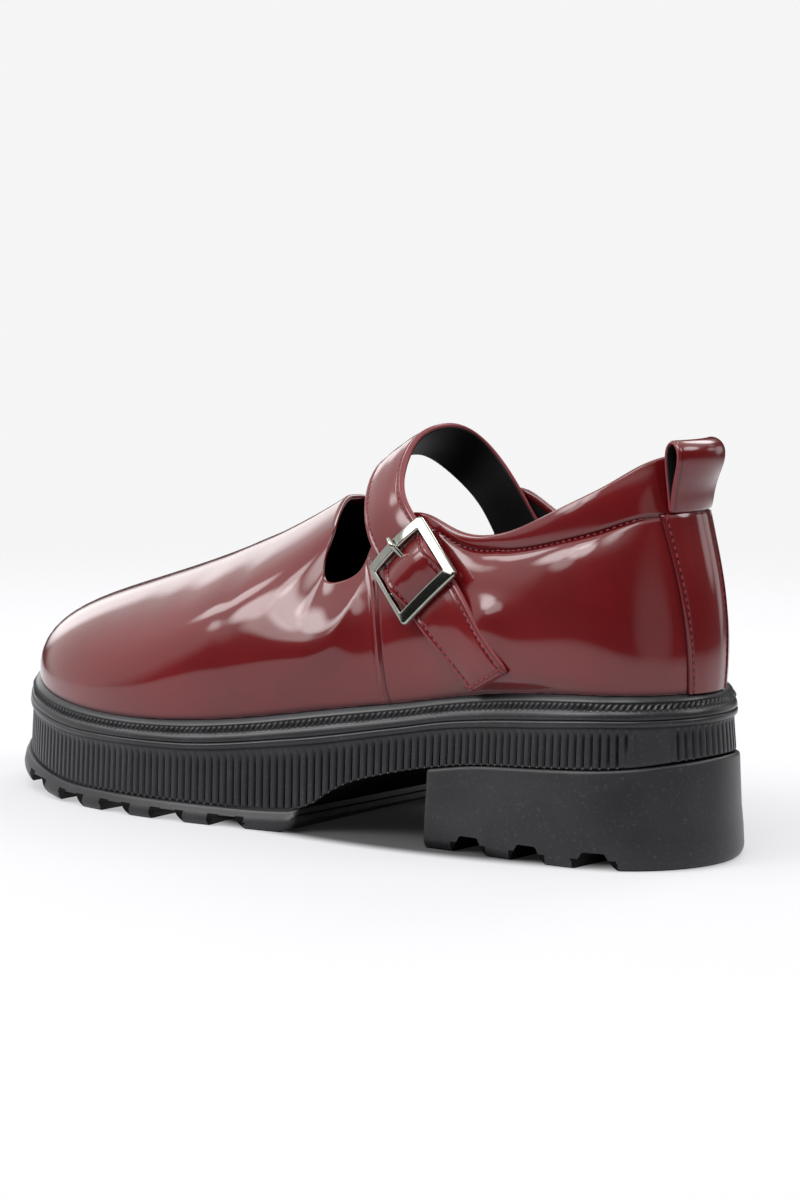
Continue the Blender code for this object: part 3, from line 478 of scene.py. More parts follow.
# moulded rubber: a few pits in a fine skin, and dust as specks and a faint cloud
RUBBERY, given, gives = new_group(
    "moulded_rubber", {"Height": "NodeSocketFloat", "Dust": "NodeSocketFloat"}, Pit_Depth=0.0001)
position = given["Position"]
pits = add(RUBBERY, "TexVoronoi", {"Vector": position, "Scale": 420.0}).outputs["Distance"]
pits = math_node(RUBBERY, "SUBTRACT", levels(RUBBERY, pits, 0.05, 0.22, kind="LINEAR"), 1.0)
few = math_node(RUBBERY, "GREATER_THAN", noise(RUBBERY, position, 240.0, 0.0), 0.60)
pits = math_node(RUBBERY, "MULTIPLY", pits, few)
skin = math_node(RUBBERY, "MULTIPLY", noise(RUBBERY, position, 1300.0, 2.0), 0.50)
height = math_node(RUBBERY, "MULTIPLY", math_node(RUBBERY, "ADD", pits, skin), given["Pit Depth"])
RUBBERY.links.new(height, gives["Height"])
specks = math_node(RUBBERY, "SUBTRACT", noise(RUBBERY, position, 900.0, 3.0, 0.6), 0.58)
specks = math_node(RUBBERY, "MULTIPLY", specks, 5.0, clamp=True)
cloud = math_node(RUBBERY, "SUBTRACT", noise(RUBBERY, position, 60.0, 3.0), 0.42)
cloud = math_node(RUBBERY, "MULTIPLY", cloud, 0.9, clamp=True)
RUBBERY.links.new(math_node(RUBBERY, "ADD", specks, cloud), gives["Dust"])
print("shader groups:", [group.name for group in bpy.data.node_groups])


# %% Materials of the leather, the lining and the thread
def new_material(name, **sockets):
    """Material with its Principled shader, constants on its own sockets, and Object coordinates."""
    material = bpy.data.materials.new(name)
    material.use_nodes = True
    tree = material.node_tree
    shader = tree.nodes["Principled BSDF"]
    for label, value in sockets.items():
        shader.inputs[label.replace("_", " ")].default_value = value
    return material, tree, shader, add(tree, "TexCoord").outputs["Object"]


def add_group(tree, group, place, **values):
    """Places a shader group in a material with its own values or sockets."""
    inputs = {label.replace("_", " "): value for label, value in values.items()}
    return add(tree, "Group", {"Position": place, **inputs}, node_tree=group)


def add_bump(tree, shader, height):
    """Bump from a height in metres."""
    bump = add(tree, "Bump", {"Strength": 1.0, "Distance": 1.0, "Height": height})
    tree.links.new(bump.outputs["Normal"], shader.inputs["Normal"])


def shade_paint(tree):
    """The painted shade: a value painted on the mesh in seams, grooves and edges."""
    return add(tree, "Attribute", attribute_name="seam").outputs["Fac"]


def leather_material(name, colour, drift_colour, seam_colour, wave, grain, **sockets):
    """Leather whose colour and film darken with the painted shade near seams; wave and grain are heights in
    metres.
    """
    material, tree, shader, place = new_material(name, **sockets)
    seam = shade_paint(tree)
    worn = add_group(tree, DUST_AND_SHADE, place, Colour=(*colour, 1), Drift_Colour=(*drift_colour, 1),
                     Seam_Colour=(*seam_colour, 1), Drift_Scale=35.0, Wear=seam)
    tree.links.new(worn.outputs["Colour"], shader.inputs["Base Color"])
    if "Coat_Weight" in sockets:
        # painted shade also takes the film's reflection away in the painted seams
        film_shade = math_node(tree, "MULTIPLY", seam, 0.8)
        tree.links.new(math_node(tree, "SUBTRACT", 1.0, film_shade, clamp=True), shader.inputs["Coat Weight"])
    surface = add_group(tree, WAVY, place, Wave_Height=wave, Grain_Height=grain, Grain_Scale=1400.0)
    add_bump(tree, shader, surface.outputs["Height"])
    return material


FILM = {"Roughness": 0.35, "Coat_Weight": 1.0, "Specular_IOR_Level": 0.15}
PATENT = leather_material(
    "burgundy_patent_leather", (0.128, 0.0046, 0.0060), (0.100, 0.0035, 0.0048), (0.028, 0.002, 0.004),
    wave=0.00016, grain=0.0, Coat_Roughness=0.03, Coat_IOR=1.53, **FILM)
PATENT_STRAP = leather_material(
    "burgundy_patent_strap", (0.136, 0.0049, 0.0064), (0.110, 0.0039, 0.0053), (0.028, 0.002, 0.004),
    wave=0.00010, grain=0.0, Coat_Roughness=0.11, Coat_IOR=1.54, **FILM)
LINING = leather_material(
    "black_lining_leather", (0.0045, 0.0043, 0.0046), (0.008, 0.0075, 0.008), (0.004, 0.004, 0.004),
    wave=0.0001, grain=0.00006, Roughness=0.60, Specular_IOR_Level=0.25)
EDGE_PAINT = leather_material(
    "edge_paint", (0.235, 0.046, 0.054), (0.17, 0.028, 0.034), (0.08, 0.009, 0.013),
    wave=0.0, grain=0.00004, Roughness=0.45, Specular_IOR_Level=0.25)
THREAD = leather_material(
    "burgundy_thread", (0.32, 0.055, 0.068), (0.20, 0.024, 0.032), (0.05, 0.004, 0.006),
    wave=0.0, grain=0.00005, Roughness=0.6, Specular_IOR_Level=0.2)
print("leather finishes:", PATENT.name, LINING.name, EDGE_PAINT.name, THREAD.name)


# %% Materials of the rubber and the metal
DUST_COLOUR, GROOVE_SHADE_COLOUR = (0.048, 0.047, 0.056, 1), (0.0012, 0.0012, 0.0014, 1)


def rubber_material(name, colour, film):
    """Moulded rubber with pits and dust; its film is as rough as given, and painted shade in the grooves
    darkens it and takes the film away.
    """
    material, tree, shader, place = new_material(
        name, Roughness=0.6, Specular_IOR_Level=0.08, Coat_Weight=1.0, Coat_Roughness=film, Coat_IOR=1.46)
    made = add_group(tree, RUBBERY, place, Pit_Depth=0.00011)
    dust = math_node(tree, "MULTIPLY", made.outputs["Dust"], 0.60)
    worn = add_group(tree, DUST_AND_SHADE, place, Colour=(*colour, 1), Drift_Colour=(*[c * 0.7 for c in colour], 1),
                     Seam_Colour=DUST_COLOUR, Drift_Scale=50.0, Wear=dust).outputs["Colour"]
    # painted shade: the grooves turn near black and lose their film
    groove = shade_paint(tree)
    deep = add_group(tree, DUST_AND_SHADE, place, Colour=worn, Drift_Colour=worn, Seam_Colour=GROOVE_SHADE_COLOUR,
                     Wear=groove)
    tree.links.new(deep.outputs["Colour"], shader.inputs["Base Color"])
    tree.links.new(math_node(tree, "SUBTRACT", 1.0, groove, clamp=True), shader.inputs["Coat Weight"])
    add_bump(tree, shader, made.outputs["Height"])
    return material


RUBBER = rubber_material("black_moulded_rubber", (0.0046, 0.0046, 0.0064), 0.42)
RUBBER_LIP = rubber_material("black_rubber_lip", (0.0050, 0.0050, 0.0068), 0.33)
# painted shade: a darker rubber with almost no reflection, for the underside seen in the arch
SHADED_RUBBER = new_material("black_rubber_painted_shade", Roughness=0.9, Specular_IOR_Level=0.02,
                           Base_Color=(0.0025, 0.0025, 0.0028, 1))[0]

# bright plating: a thin unevenness in its colour and its roughness
NICKEL, tree, shader, place = new_material("bright_nickel_plating", Metallic=1.0, Coat_Weight=0.0)
plated = add_group(tree, DUST_AND_SHADE, place, Colour=(0.37, 0.375, 0.335, 1), Drift_Colour=(0.31, 0.315, 0.28, 1),
                   Seam_Colour=(0.2, 0.2, 0.19, 1), Drift_Scale=300.0)
tree.links.new(plated.outputs["Colour"], shader.inputs["Base Color"])
rough = math_node(tree, "MULTIPLY_ADD", noise(tree, place, 900.0, 3.0), 0.08, 0.05)
tree.links.new(rough, shader.inputs["Roughness"])
surface = add_group(tree, WAVY, place, Wave_Height=0.00001, Grain_Height=0.000001, Grain_Scale=2500.0)
add_bump(tree, shader, surface.outputs["Height"])
print("rubber and metal finishes:", RUBBER.name, RUBBER_LIP.name, SHADED_RUBBER.name, NICKEL.name)

# %% [markdown]
# ## The upper
# The real upper is cut leather pulled over a last: a vamp in front, two quarters behind it, folded at
# the collar over a thin pad and stitched below it.  The seams are what the eye follows, so the grid is
# laid along them: its columns bend with the vamp seams, its rows follow the collar's stitch line, and
# both crowd together there.  Then the relief is added: the puffed collar, the groove under the
# stitches, the raised vamp seam and the soft creases.

# %% Where the seams run
# The vamp seam: share of the way up a rib, then its place round the ring on the outer side.  It stands
# nearly straight up from the welt and leans towards the toe higher up.
VAMP_SEAM = ((0.0, 0.216), (0.3, 0.223), (0.65, 0.237), (1.0, 0.259))
# The stitch line under the collar: place round the ring, then its distance below the top edge in mm.
COLLAR_LINE = ((0.0, 17.6), (0.03, 17.2), (0.05, 15.6), (0.07, 13.6), (0.10, 10.4), (0.13, 6.7),
               (0.15, 4.6), (0.18, 4.0), (0.21, 3.4), (0.25, 3.0), (0.50, 2.8))
RIM = 1.0                                           # radius of the folded top edge, mm
COLLAR_SINK, SINK_FADE = 1.3, 3.0                   # the collar is drawn in round its stitch line
COLLAR_GROOVE, COLLAR_PUFF, PUFF_BY_DEPTH = 0.62, 0.42, 0.048
BULGE, BULGE_RISE, BULGE_FALL = 1.6, 5.0, 45.0      # the quarter swells below the collar
SEAM_RIDGE, SEAM_TROUGH, SEAM_STEP = 0.50, 0.20, 0.30

ring_marks = np.linspace(0, 1, 361)
ribs = last_at(ring_marks[:, None], np.linspace(0, 1, 41)[None, :])
RIB_LENGTH = np.linalg.norm(np.diff(ribs, axis=1), axis=2).sum(axis=1)


def half_ring(s):
    """Place round the ring counted from the heel on either side."""
    s = np.mod(s, 1.0)
    return np.minimum(s, 1 - s)


def rib_length(s):
    """Length of the rib at a place round the ring, in mm."""
    return np.interp(np.mod(s, 1.0), ring_marks, RIB_LENGTH)


def line_depth(s):
    """How far the collar's stitch line lies below the top edge, in mm."""
    return np.interp(half_ring(s), *np.array(COLLAR_LINE).T)


def line_share(s):
    """Share of the way up a rib at which the stitch line crosses it."""
    return 1 - line_depth(s) / rib_length(s)


def above_line(s, t):
    """How far a point lies above the collar's stitch line, in mm; below it the value is negative."""
    return (t - line_share(s)) * rib_length(s)


def swell_share(side):
    """1 where the collar is padded, falling to 0 at the heel and at the buckle."""
    return ramp(side, 0.035, 0.075) * (1 - ramp(side, 0.155, 0.20))


def seam_place(t):
    """Place round the ring of the outer vamp seam at a share of the way up."""
    return long_line(VAMP_SEAM, t)


print("rib lengths from the heel to the toe, mm:", RIB_LENGTH[:181:45].round(1))

# %% Creases and pulls
CREASES = (
    # side, ends of the crease (x, z), half width in mm, height in mm (minus is a trough)
    (1, 45.0, 80.5, 29.0, 73.0, 3.6, 0.16),
    (1, 110.0, 72.0, 120.0, 52.0, 5.0, 0.30),
    (1, 116.0, 74.0, 132.0, 56.0, 5.0, -0.28),
    (-1, 78.0, 84.0, 62.0, 70.0, 4.0, -0.35),
    (-1, 112.0, 74.0, 124.0, 54.0, 5.0, -0.28),
    (-1, 40.0, 84.0, 52.0, 66.0, 5.0, 0.25),
)
FLEX_CREASES = ((166.0, 5.0, 3.6, -0.22), (175.0, 7.0, 4.2, 0.15), (186.0, 6.0, 4.0, -0.20),
                (199.0, 4.0, 4.6, -0.14))     # x at the ridge, bow, half width, height
# Places where the leather is pulled out under the strap: x, the heights the step runs between, half
# width and step in mm.  The step leans back, so each of them holds a highlight.
PULLS = ((62.5, 70.5, 79.5, 7.0, 1.75), (98.0, 66.0, 76.0, 8.0, 0.25))
QUARTER_X, QUARTER_WIDTH, QUARTER_SWELL = 54, 26, 1.7     # the outer quarter's own fullness, in mm


def crease_relief(points):
    """Soft troughs and ridges, placed one by one, in mm."""
    x, y, z = np.moveaxis(points, -1, 0)
    relief = np.zeros(x.shape)
    for side, x0, z0, x1, z1, width, height in CREASES:
        along = np.clip(((x - x0) * (x1 - x0) + (z - z0) * (z1 - z0))
                        / ((x1 - x0) ** 2 + (z1 - z0) ** 2), 0, 1)
        miss = np.hypot(x - x0 - along * (x1 - x0), z - z0 - along * (z1 - z0))
        waist = np.sin(math.pi * (0.1 + 0.8 * along))
        relief += np.where(y * side > 0, 1, 0) * height * hill(miss, width) * waist
    for x0, bow, width, height in FLEX_CREASES:
        line = x0 - bow * (y / 35) ** 2 + 1.2 * np.sin(y / 9 + x0)
        relief += height * hill(x - line, width) * ramp(z, 42, 62) * (0.6 + 0.4 * np.sin(y / 7 + x0))
    for x0, low, high, width, step in PULLS:
        pulled = step * hill(x - x0, width) * (1 - ramp(z, low, high)) * ramp(z, 48, low)
        relief += np.where(y > 0, pulled, 0)
    relief += np.where(y > 0, QUARTER_SWELL, 0) * hill(x - QUARTER_X, QUARTER_WIDTH) * (1 - ramp(z, 55, 80))
    wobble = (np.sin(x / 9.1 + 1.7 * np.sin(z / 13)) * np.sin(z / 11.3 + 0.8) * 0.045
              + np.sin(x / 23.0 + z / 17.0 + 2) * 0.06)
    return relief + wobble * ramp(z, 34, 50)


print("creases:", len(CREASES) + len(FLEX_CREASES), "pulls:", len(PULLS))


# %% Relief of the leather
def collar_sink(s, t):
    """How far the collar is drawn in round its stitch line, in mm; the lining goes in with it."""
    up = above_line(s, t)
    over = 1 - ramp(up, 0, np.maximum(line_depth(s), 1))
    under = np.exp(np.minimum(up, 0) / SINK_FADE)
    return COLLAR_SINK * swell_share(half_ring(s)) * np.where(up > 0, over, under)


def upper_relief(s, t, points, width_of_s):
    """Height over the last in mm, and the painted shade in its seams, at every point of a grid."""
    side, depth, up = half_ring(s), line_depth(s), above_line(s, t)
    beside = (side - seam_place(t)) * width_of_s
    collar = ramp(side, 0.018, 0.04) * (1 - ramp(side, 0.175, 0.205))
    groove = COLLAR_GROOVE * collar * hill(up, 0.72)
    puff_shape = np.sin(math.pi * np.clip(up / np.maximum(depth - 0.4, 1), 0, 1)) ** 0.75
    puff = collar * (COLLAR_PUFF + PUFF_BY_DEPTH * depth) * puff_shape
    below = np.minimum(up, 0)
    bulge = BULGE * swell_share(side) * (1 - np.exp(below / BULGE_RISE)) * np.exp(below / BULGE_FALL)
    bulge -= collar_sink(s, t)
    seam = 1 - ramp(t, 0.80, 0.92)
    ridge = seam * (SEAM_RIDGE * np.exp(-(np.abs(beside) / 0.62) ** 3)
                    - SEAM_TROUGH * hill(np.abs(beside) - 1.3, 0.40)
                    + SEAM_STEP * np.where(beside < 0, np.exp(np.minimum(beside, 0) / 9), 0))
    rest = crease_relief(points) * ramp(side, 0.02, 0.05)
    from_foot = t * rib_length(s)
    relief = (puff - groove + bulge + ridge + rest) * ramp(from_foot, 0.0, 5.0)
    # painted shade: dark in the collar's stitch groove, in the trough on one side of the vamp seam and in a
    # thin line along the welt
    painted = (0.85 * collar * hill(up, 0.50) + 0.8 * seam * hill(beside + 1.30, 0.30)
               + 0.9 * np.exp(-(from_foot / 1.1) ** 2))
    return relief, np.clip(painted, 0, 1)


print("relief of the collar, the seams and the creases ready")

# %% Columns of the upper
COLUMN_STEP, ROW_STEP, SEAM_BAND, LINE_BAND = 1.9, 2.4, 2.8, 2.4      # mm
ARC_STEP, TABLE_ROWS = 1e-3, 41
seam_offsets = np.concatenate((np.linspace(-SEAM_BAND, -1.9, 3), np.linspace(-1.65, 1.65, 15),
                               np.linspace(1.9, SEAM_BAND, 3)))


def columns_at(t):
    """Ring places of all the columns at rib share t; they bend with the two vamp seams."""
    place = float(seam_place(t))
    width = np.linalg.norm(last_at(place + ARC_STEP, t) - last_at(place - ARC_STEP, t)) / (2 * ARC_STEP)
    band = SEAM_BAND / width
    first = np.linspace(0, place - band, HEEL_COLUMNS)
    front = np.linspace(place + band, 1 - place - band, FRONT_COLUMNS)
    seam_columns = place + seam_offsets / width
    return np.concatenate((first[:-1], seam_columns, front[1:-1], (1 - seam_columns)[::-1],
                           (1 - first)[::-1][1:]))


HEEL_COLUMNS, FRONT_COLUMNS = (
    int(running_length(last_at(np.linspace(low, high, 80), 0.5))[-1] / COLUMN_STEP)
    for low, high in ((0.0, 0.225), (0.225, 0.775)))
column_table = np.array([columns_at(t) for t in np.linspace(0, 1, TABLE_ROWS)])
COLUMNS = column_table.shape[1]


def column_places(t):
    """Ring places for a columns x rows grid of rib shares."""
    k = np.clip((t * (TABLE_ROWS - 1)).astype(int), 0, TABLE_ROWS - 2)
    p = t * (TABLE_ROWS - 1) - k
    c = np.broadcast_to(np.arange(COLUMNS)[:, None], t.shape)
    return (1 - p) * column_table[k, c] + p * column_table[k + 1, c]


line_t = np.full((COLUMNS, 1), 0.9)
for _ in range(4):
    line_t = line_share(column_places(line_t))
places = column_places(line_t)
length, depth = rib_length(places), line_depth(places)
print("columns of the upper:", COLUMNS)

# %% Rows of the upper
# They stand close together at the welt and round the stitch line; all distances are in mm.
FOOT_MARKS, REST_START, SIDE_HEIGHT = np.array([[0.0, 0.25, 0.5, 0.8, 1.2, 1.8]]), 2.6, 58
rest_rows = int(SIDE_HEIGHT / ROW_STEP)
low_rows = rest_rows + FOOT_MARKS.size
band_high = np.minimum(LINE_BAND, (depth - RIM) * 0.72)
fine_low = np.linspace(-1, 0, 10)[None, :] * np.full((COLUMNS, 1), LINE_BAND)
fine_high = np.linspace(0, 1, 10)[None, 1:] * band_high
top_t = 1 - RIM / length
rest_start, low_top = REST_START / length, line_t - LINE_BAND / length
rest_part = rest_start + np.linspace(0, 1, rest_rows)[None, :-1] * (low_top - rest_start)
fine_part = line_t + np.concatenate((fine_low, fine_high), axis=1) / length
high_start = line_t + band_high / length
high_part = high_start + np.linspace(0, 1, 8)[None, 1:] * (top_t - high_start)
outer_t = np.concatenate((FOOT_MARKS / length, rest_part, fine_part, high_part), axis=1)
outer_s = column_places(outer_t)
outer = last_at(outer_s, outer_t)
outer_normal = last_normal(outer_s, outer_t)
along = last_at(outer_s + ARC_STEP / 2, outer_t) - last_at(outer_s - ARC_STEP / 2, outer_t)
per_s = np.linalg.norm(along, axis=2) / ARC_STEP
relief, painted = upper_relief(outer_s, outer_t, outer, per_s)
outer += relief[..., None] * outer_normal

print("outer face of the upper:", outer.shape[:2])

# %% The folded rim and the back of the leather
# The rim is followed by a short stretch of leather inside it, and by the leather's hidden back.
LEATHER_BACK, FOLD_DEPTH, BACK_ROWS = 1.25, 1.5, 9
edge_s, edge_t, edge_normal = outer_s[:, -1], outer_t[:, -1], outer_normal[:, -1]
rise = unit(last_at(edge_s, edge_t + ARC_STEP) - last_at(edge_s, edge_t - ARC_STEP))
middle = outer[:, -1] - RIM * edge_normal
turn = np.linspace(0, math.pi, 11)[1:]
rim = (middle[:, None] + RIM * (np.cos(turn)[None, :, None] * edge_normal[:, None]
                                + np.sin(turn)[None, :, None] * rise[:, None]))
shares = top_t - np.array([[FOLD_DEPTH, FOLD_DEPTH + 0.2]]) / length
shares = np.concatenate((shares, shares[:, -1:] * np.linspace(1, 0, BACK_ROWS)[None, 1:]), axis=1)
backs = np.array([[2 * RIM] + [LEATHER_BACK] * BACK_ROWS])
places = column_places(shares)
backs = (backs + collar_sink(places, shares))[..., None]
inside = last_at(places, shares) - backs * last_normal(places, shares)
grid = np.concatenate((outer, rim, inside, outer[:, :1]), axis=1)
paint = np.concatenate((painted, np.zeros((COLUMNS, grid.shape[1] - painted.shape[1]))), axis=1)
print("upper grid:", grid.shape[:2])

# %% The upper and its lining
cut_piece("upper_leather", grid, PATENT, "burgundy_patent", "upper", paint=paint)

LINING_DEPTH, LINING_HALF, LINING_RIM = 1.68, 0.33, 0.4
lining_t = np.linspace(0.0, 1, 26)[None, :] * (top_t - (FOLD_DEPTH + 0.3) / length)
take = np.append(np.arange(0, COLUMNS - 1, 2), COLUMNS - 1)
lining_s, lining_t = column_places(lining_t)[take], lining_t[take]
lining_normal = last_normal(lining_s, lining_t)
half = LINING_HALF * rim_shape((lining_t[:, -1:] - lining_t) * rib_length(lining_s), LINING_RIM)
sunk = (LINING_DEPTH + collar_sink(lining_s, lining_t))[..., None]
middle = last_at(lining_s, lining_t) - sunk * lining_normal
cut_piece("collar_lining", slab(middle, lining_normal, half, -half), LINING, "black_lining", bridge=True)

# %% [markdown]
# ## Strip, loop and strap
# Cut pieces are slabs: a middle surface, a thickness and a rounded rim.  Their edges carry what makes
# them look sewn: a folded cord, a groove for the thread, and the thread itself.  A stitch is a small
# squashed ball; a row of them is copied along a line and becomes one mesh.


# %% Threads, beads and edges
def edge_marks(length, rim, fine_to, fine, coarse=1.3):
    """Distances across a piece, close together near both of its edges."""
    start = np.concatenate((rim * (1 - np.cos(np.linspace(0, math.pi / 2, 5)[:-1])),
                            np.arange(rim, fine_to, fine)))
    inside = np.linspace(start[-1] + fine, length - start[-1] - fine,
                         max(3, int((length - 2 * fine_to) / coarse) + 1))
    return np.concatenate((start, inside, (length - start)[::-1]))


def stitch_places(line, normals, pitch):
    """Middle, direction and normal of every stitch along a line."""
    length = running_length(line)
    count = max(1, int(round(length[-1] / pitch)))
    at = (np.arange(count) + 0.5) * length[-1] / count
    middle, normal = rows_at(at, length, line), rows_at(at, length, normals)
    heading = unit(rows_at(at, length, np.gradient(line, axis=0)))
    normal -= (normal * heading).sum(axis=1)[:, None] * heading
    return middle, heading, unit(normal)


def sew(name, rows, length, width, height):
    """One mesh of stitches: a small ball, squashed and copied to every place of the rows."""
    middle, heading, normal = (np.concatenate([row[k] for row in rows]) for k in range(3))
    bpy.ops.object.select_all(action="DESELECT")
    bpy.ops.mesh.primitive_uv_sphere_add(segments=8, ring_count=6, radius=0.5)
    ball = bpy.context.object
    shape = np.array([vertex.co for vertex in ball.data.vertices])[:, [2, 0, 1]]
    faces = [tuple(face.vertices) for face in ball.data.polygons]
    bpy.data.objects.remove(ball, do_unlink=True)
    count = len(middle)
    turn = 0.10 * np.sin(np.arange(count) * 2.4)[:, None]
    side = np.cross(normal, heading)
    ahead, across = heading + turn * side, side - turn * heading
    size = 1 + 0.07 * np.sin(np.arange(count) * 1.7)[:, None, None]
    points = (middle[:, None] + size * (shape[None, :, :1] * length * ahead[:, None]
                                        + shape[None, :, 1:2] * width * across[:, None]
                                        + shape[None, :, 2:] * height * normal[:, None]))
    piece = add_mesh(name, points.reshape(-1, 3),
                     [tuple(v + k * len(shape) for v in face) for k in range(count) for face in faces])
    alone(piece)
    bpy.ops.object.shade_smooth()
    return finish_piece(piece, THREAD, "burgundy_patent")


def tube(name, line, radius, sides, closed=False):
    """Round piece along a line; an open one closes with round ends.  radius may vary along it."""
    line = np.asarray(line, float)
    radius = np.broadcast_to(radius, (len(line),)).astype(float)
    if closed:
        line, radius = np.vstack((line, line[:1])), np.append(radius, radius[0])
        ahead = np.gradient(np.vstack((line[-2:-1], line, line[1:2])), axis=0)[1:-1]
    else:
        ahead = np.gradient(line, axis=0)
    ahead = unit(ahead)
    if not closed:
        cap = np.linspace(math.pi / 2, 0, 5)[:-1]
        line = np.vstack((line[0] - radius[0] * np.sin(cap)[:, None] * ahead[0], line,
                          (line[-1] + radius[-1] * np.sin(cap)[:, None] * ahead[-1])[::-1]))
        radius = np.concatenate((radius[0] * np.cos(cap), radius, (radius[-1] * np.cos(cap))[::-1]))
        ahead = np.vstack((np.tile(ahead[0], (4, 1)), ahead, np.tile(ahead[-1], (4, 1))))
    side = np.cross(ahead[0], (0.31, 0.52, 0.79))          # any direction that no line here follows
    turn = np.linspace(0, 2 * math.pi, sides + 1)[:, None]
    rows = []
    for point, forward, size in zip(line, ahead, radius):
        side = unit(side - np.dot(side, forward) * forward)
        rows.append(point + size * (np.cos(turn) * side + np.sin(turn) * np.cross(forward, side)))
    rows = np.array(rows)
    if closed:
        rows[-1] = rows[0]
    return seal(sheet(name, rows), angle=60)


print("edges and threads ready")

# %% The back strip
STRIP_HALF_FOOT, STRIP_HALF_TOP, STRIP_TOP, SEW_STRIP, STRIP_THICK = 8.7, 11.6, 103.2, 1.35, 1.25
STRIP_RIM, STRIP_SUNK = 0.9, 0.25
rise = np.linspace(0, 1, 201)
back_line = last_at(0 * rise, rise)
strip_end = float(np.interp(STRIP_TOP, back_line[:, 2], rise))
up_length = running_length(last_at(0 * rise, rise * strip_end))[-1]
strip_t = marks_along(up_length, step=1.4, rim=0.7) / up_length * strip_end
reach = np.linspace(-0.08, 0.08, 161)
near_edge = edge_marks(24, rim=0.8, fine_to=2.9, fine=0.22)[:13]
strip_s, from_edge = [], []
for t in strip_t:
    half = STRIP_HALF_FOOT + (STRIP_HALF_TOP - STRIP_HALF_FOOT) * t / strip_end
    across = np.concatenate((near_edge, np.linspace(3.1, 2 * half - 3.1, 15),
                             2 * half - near_edge[::-1]))
    strip_s.append(np.interp(across - half, last_at(reach, t)[:, 1], reach))
    from_edge.append(np.minimum(across, 2 * half - across))
strip_s, from_edge = np.array(strip_s).T, np.array(from_edge).T
strip_share = np.broadcast_to(strip_t, strip_s.shape)
strip_middle, strip_normal = last_at(strip_s, strip_share), last_normal(strip_s, strip_share)
from_top = (strip_end - strip_share) / strip_end * up_length
thick = (STRIP_THICK + 0.28 * hill(from_edge - 0.75, 0.45) - 0.34 * hill(from_edge - SEW_STRIP, 0.32)
         + 0.30 * ramp(from_edge, 1.8, 6.5) + 0.10 * np.sin(strip_middle[..., 2] / 6.0 + 1))
top = thick * rim_shape(from_edge, STRIP_RIM) * rim_shape(from_top + 0.02, STRIP_RIM)
section = slab(strip_middle, strip_normal, top, 0 * top - STRIP_SUNK * (top > 1e-6))
# painted shade: dark in the stitch groove, and a painted shadow along the strip's edges where they stand on
# the quarter
dark = np.clip(0.9 * hill(from_edge - SEW_STRIP, 0.34) + 0.8 * np.exp(-from_edge / 0.25), 0, 1)
# the first row is repeated at the end, which closes the strip's foot
cut_piece("back_stay", np.concatenate((section, section[:, :1]), axis=1), PATENT, "burgundy_patent",
          "back_strip", paint=np.concatenate((wrap(dark, dark), dark[:, :1]), axis=1))
rows = []
sew_column = int(np.argmin(np.abs(from_edge[:20, 5] - SEW_STRIP)))
for column in (sew_column, -1 - sew_column):
    line = (strip_middle + strip_normal * (thick - 0.02)[..., None])[column, 3:-3]
    rows.append(stitch_places(line, strip_normal[column, 3:-3], pitch=2.15))
sew("back_stay_stitches", rows, length=1.45, width=0.55, height=0.50)

# %% The pull loop
# The tape's middle line seen from the side: distance out from the collar, and height.
LOOP_LINE = ((1.45, 103.8), (3.4, 108.0), (6.0, 113.6), (8.1, 118.6), (7.6, 121.9), (4.9, 123.5),
             (2.1, 122.1), (1.15, 118.4), (1.15, 113.6), (1.2, 108.6))
LOOP_WIDTH, LOOP_STEPS, LOOP_THICK, LOOP_LINING = 19.4, 96, 0.78, 0.62
points = [(HEEL_RADIUS - np.interp(z, back_line[:, 2], back_line[:, 0]) + out, z) for out, z in LOOP_LINE]
points = np.array(points + points[:1])
knots = running_length(points)
line = spline(knots, points, closed=True)(np.linspace(0, knots[-1], LOOP_STEPS + 1))
line[-1] = line[0]
ahead = unit(np.gradient(np.vstack((line[-2], line, line[1])), axis=0)[1:-1])
outside = np.column_stack((ahead[:, 1], -ahead[:, 0]))
if outside[20, 0] < 0:
    outside = -outside
half_turn = math.asin(LOOP_WIDTH / 2 / points[:, 0].mean())
across = edge_marks(LOOP_WIDTH, rim=0.45, fine_to=2.6, fine=0.3)
turns = (across / LOOP_WIDTH * 2 - 1) * half_turn
from_edge = np.minimum(across, LOOP_WIDTH - across)[None, :]


def swept(profile):
    """Profile points (distance, height) swept round the heel: a grid of profile x turn."""
    return np.stack([HEEL_RADIUS - profile[:, :1] * np.cos(turns), profile[:, :1] * np.sin(turns),
                     np.broadcast_to(profile[:, 1:], (len(profile), len(turns)))], axis=2)


tape_middle = swept(line)
tape_normal = swept(line + outside) - tape_middle
soft = rim_shape(from_edge, 0.6)
groove = 0.10 * hill(from_edge - 0.95, 0.30)
wobble = 0.12 * np.sin(np.arange(LOOP_STEPS + 1) * 2 * math.pi / LOOP_STEPS * 5)[:, None]
top = (LOOP_THICK - groove + wobble * ramp(from_edge, 0.5, 3.0)) * soft
# painted shade in the groove beside each edge of the tape
dark = np.clip(0.45 * hill(from_edge - 0.95, 0.3) + 0 * top, 0, 1)
cut_piece("pull_loop_leather", slab(tape_middle, tape_normal, top, 0 * top), PATENT_STRAP,
          "burgundy_patent", "pull_loop", paint=wrap(dark, dark))
cut_piece("pull_loop_lining", slab(tape_middle, tape_normal, 0 * top, 0 * top - LOOP_LINING * soft),
          LINING, "black_lining")
for side_name, column, inner_column in (("left", 0, 2), ("right", -1, -3)):
    edge = tape_middle[:-1, column]
    line = edge + 0.20 * unit(tape_middle[:-1, inner_column] - edge)
    bead = tube(f"pull_loop_edge_{side_name}", line, radius=0.44, sides=10, closed=True)
    finish_piece(bead, EDGE_PAINT, "burgundy_patent")

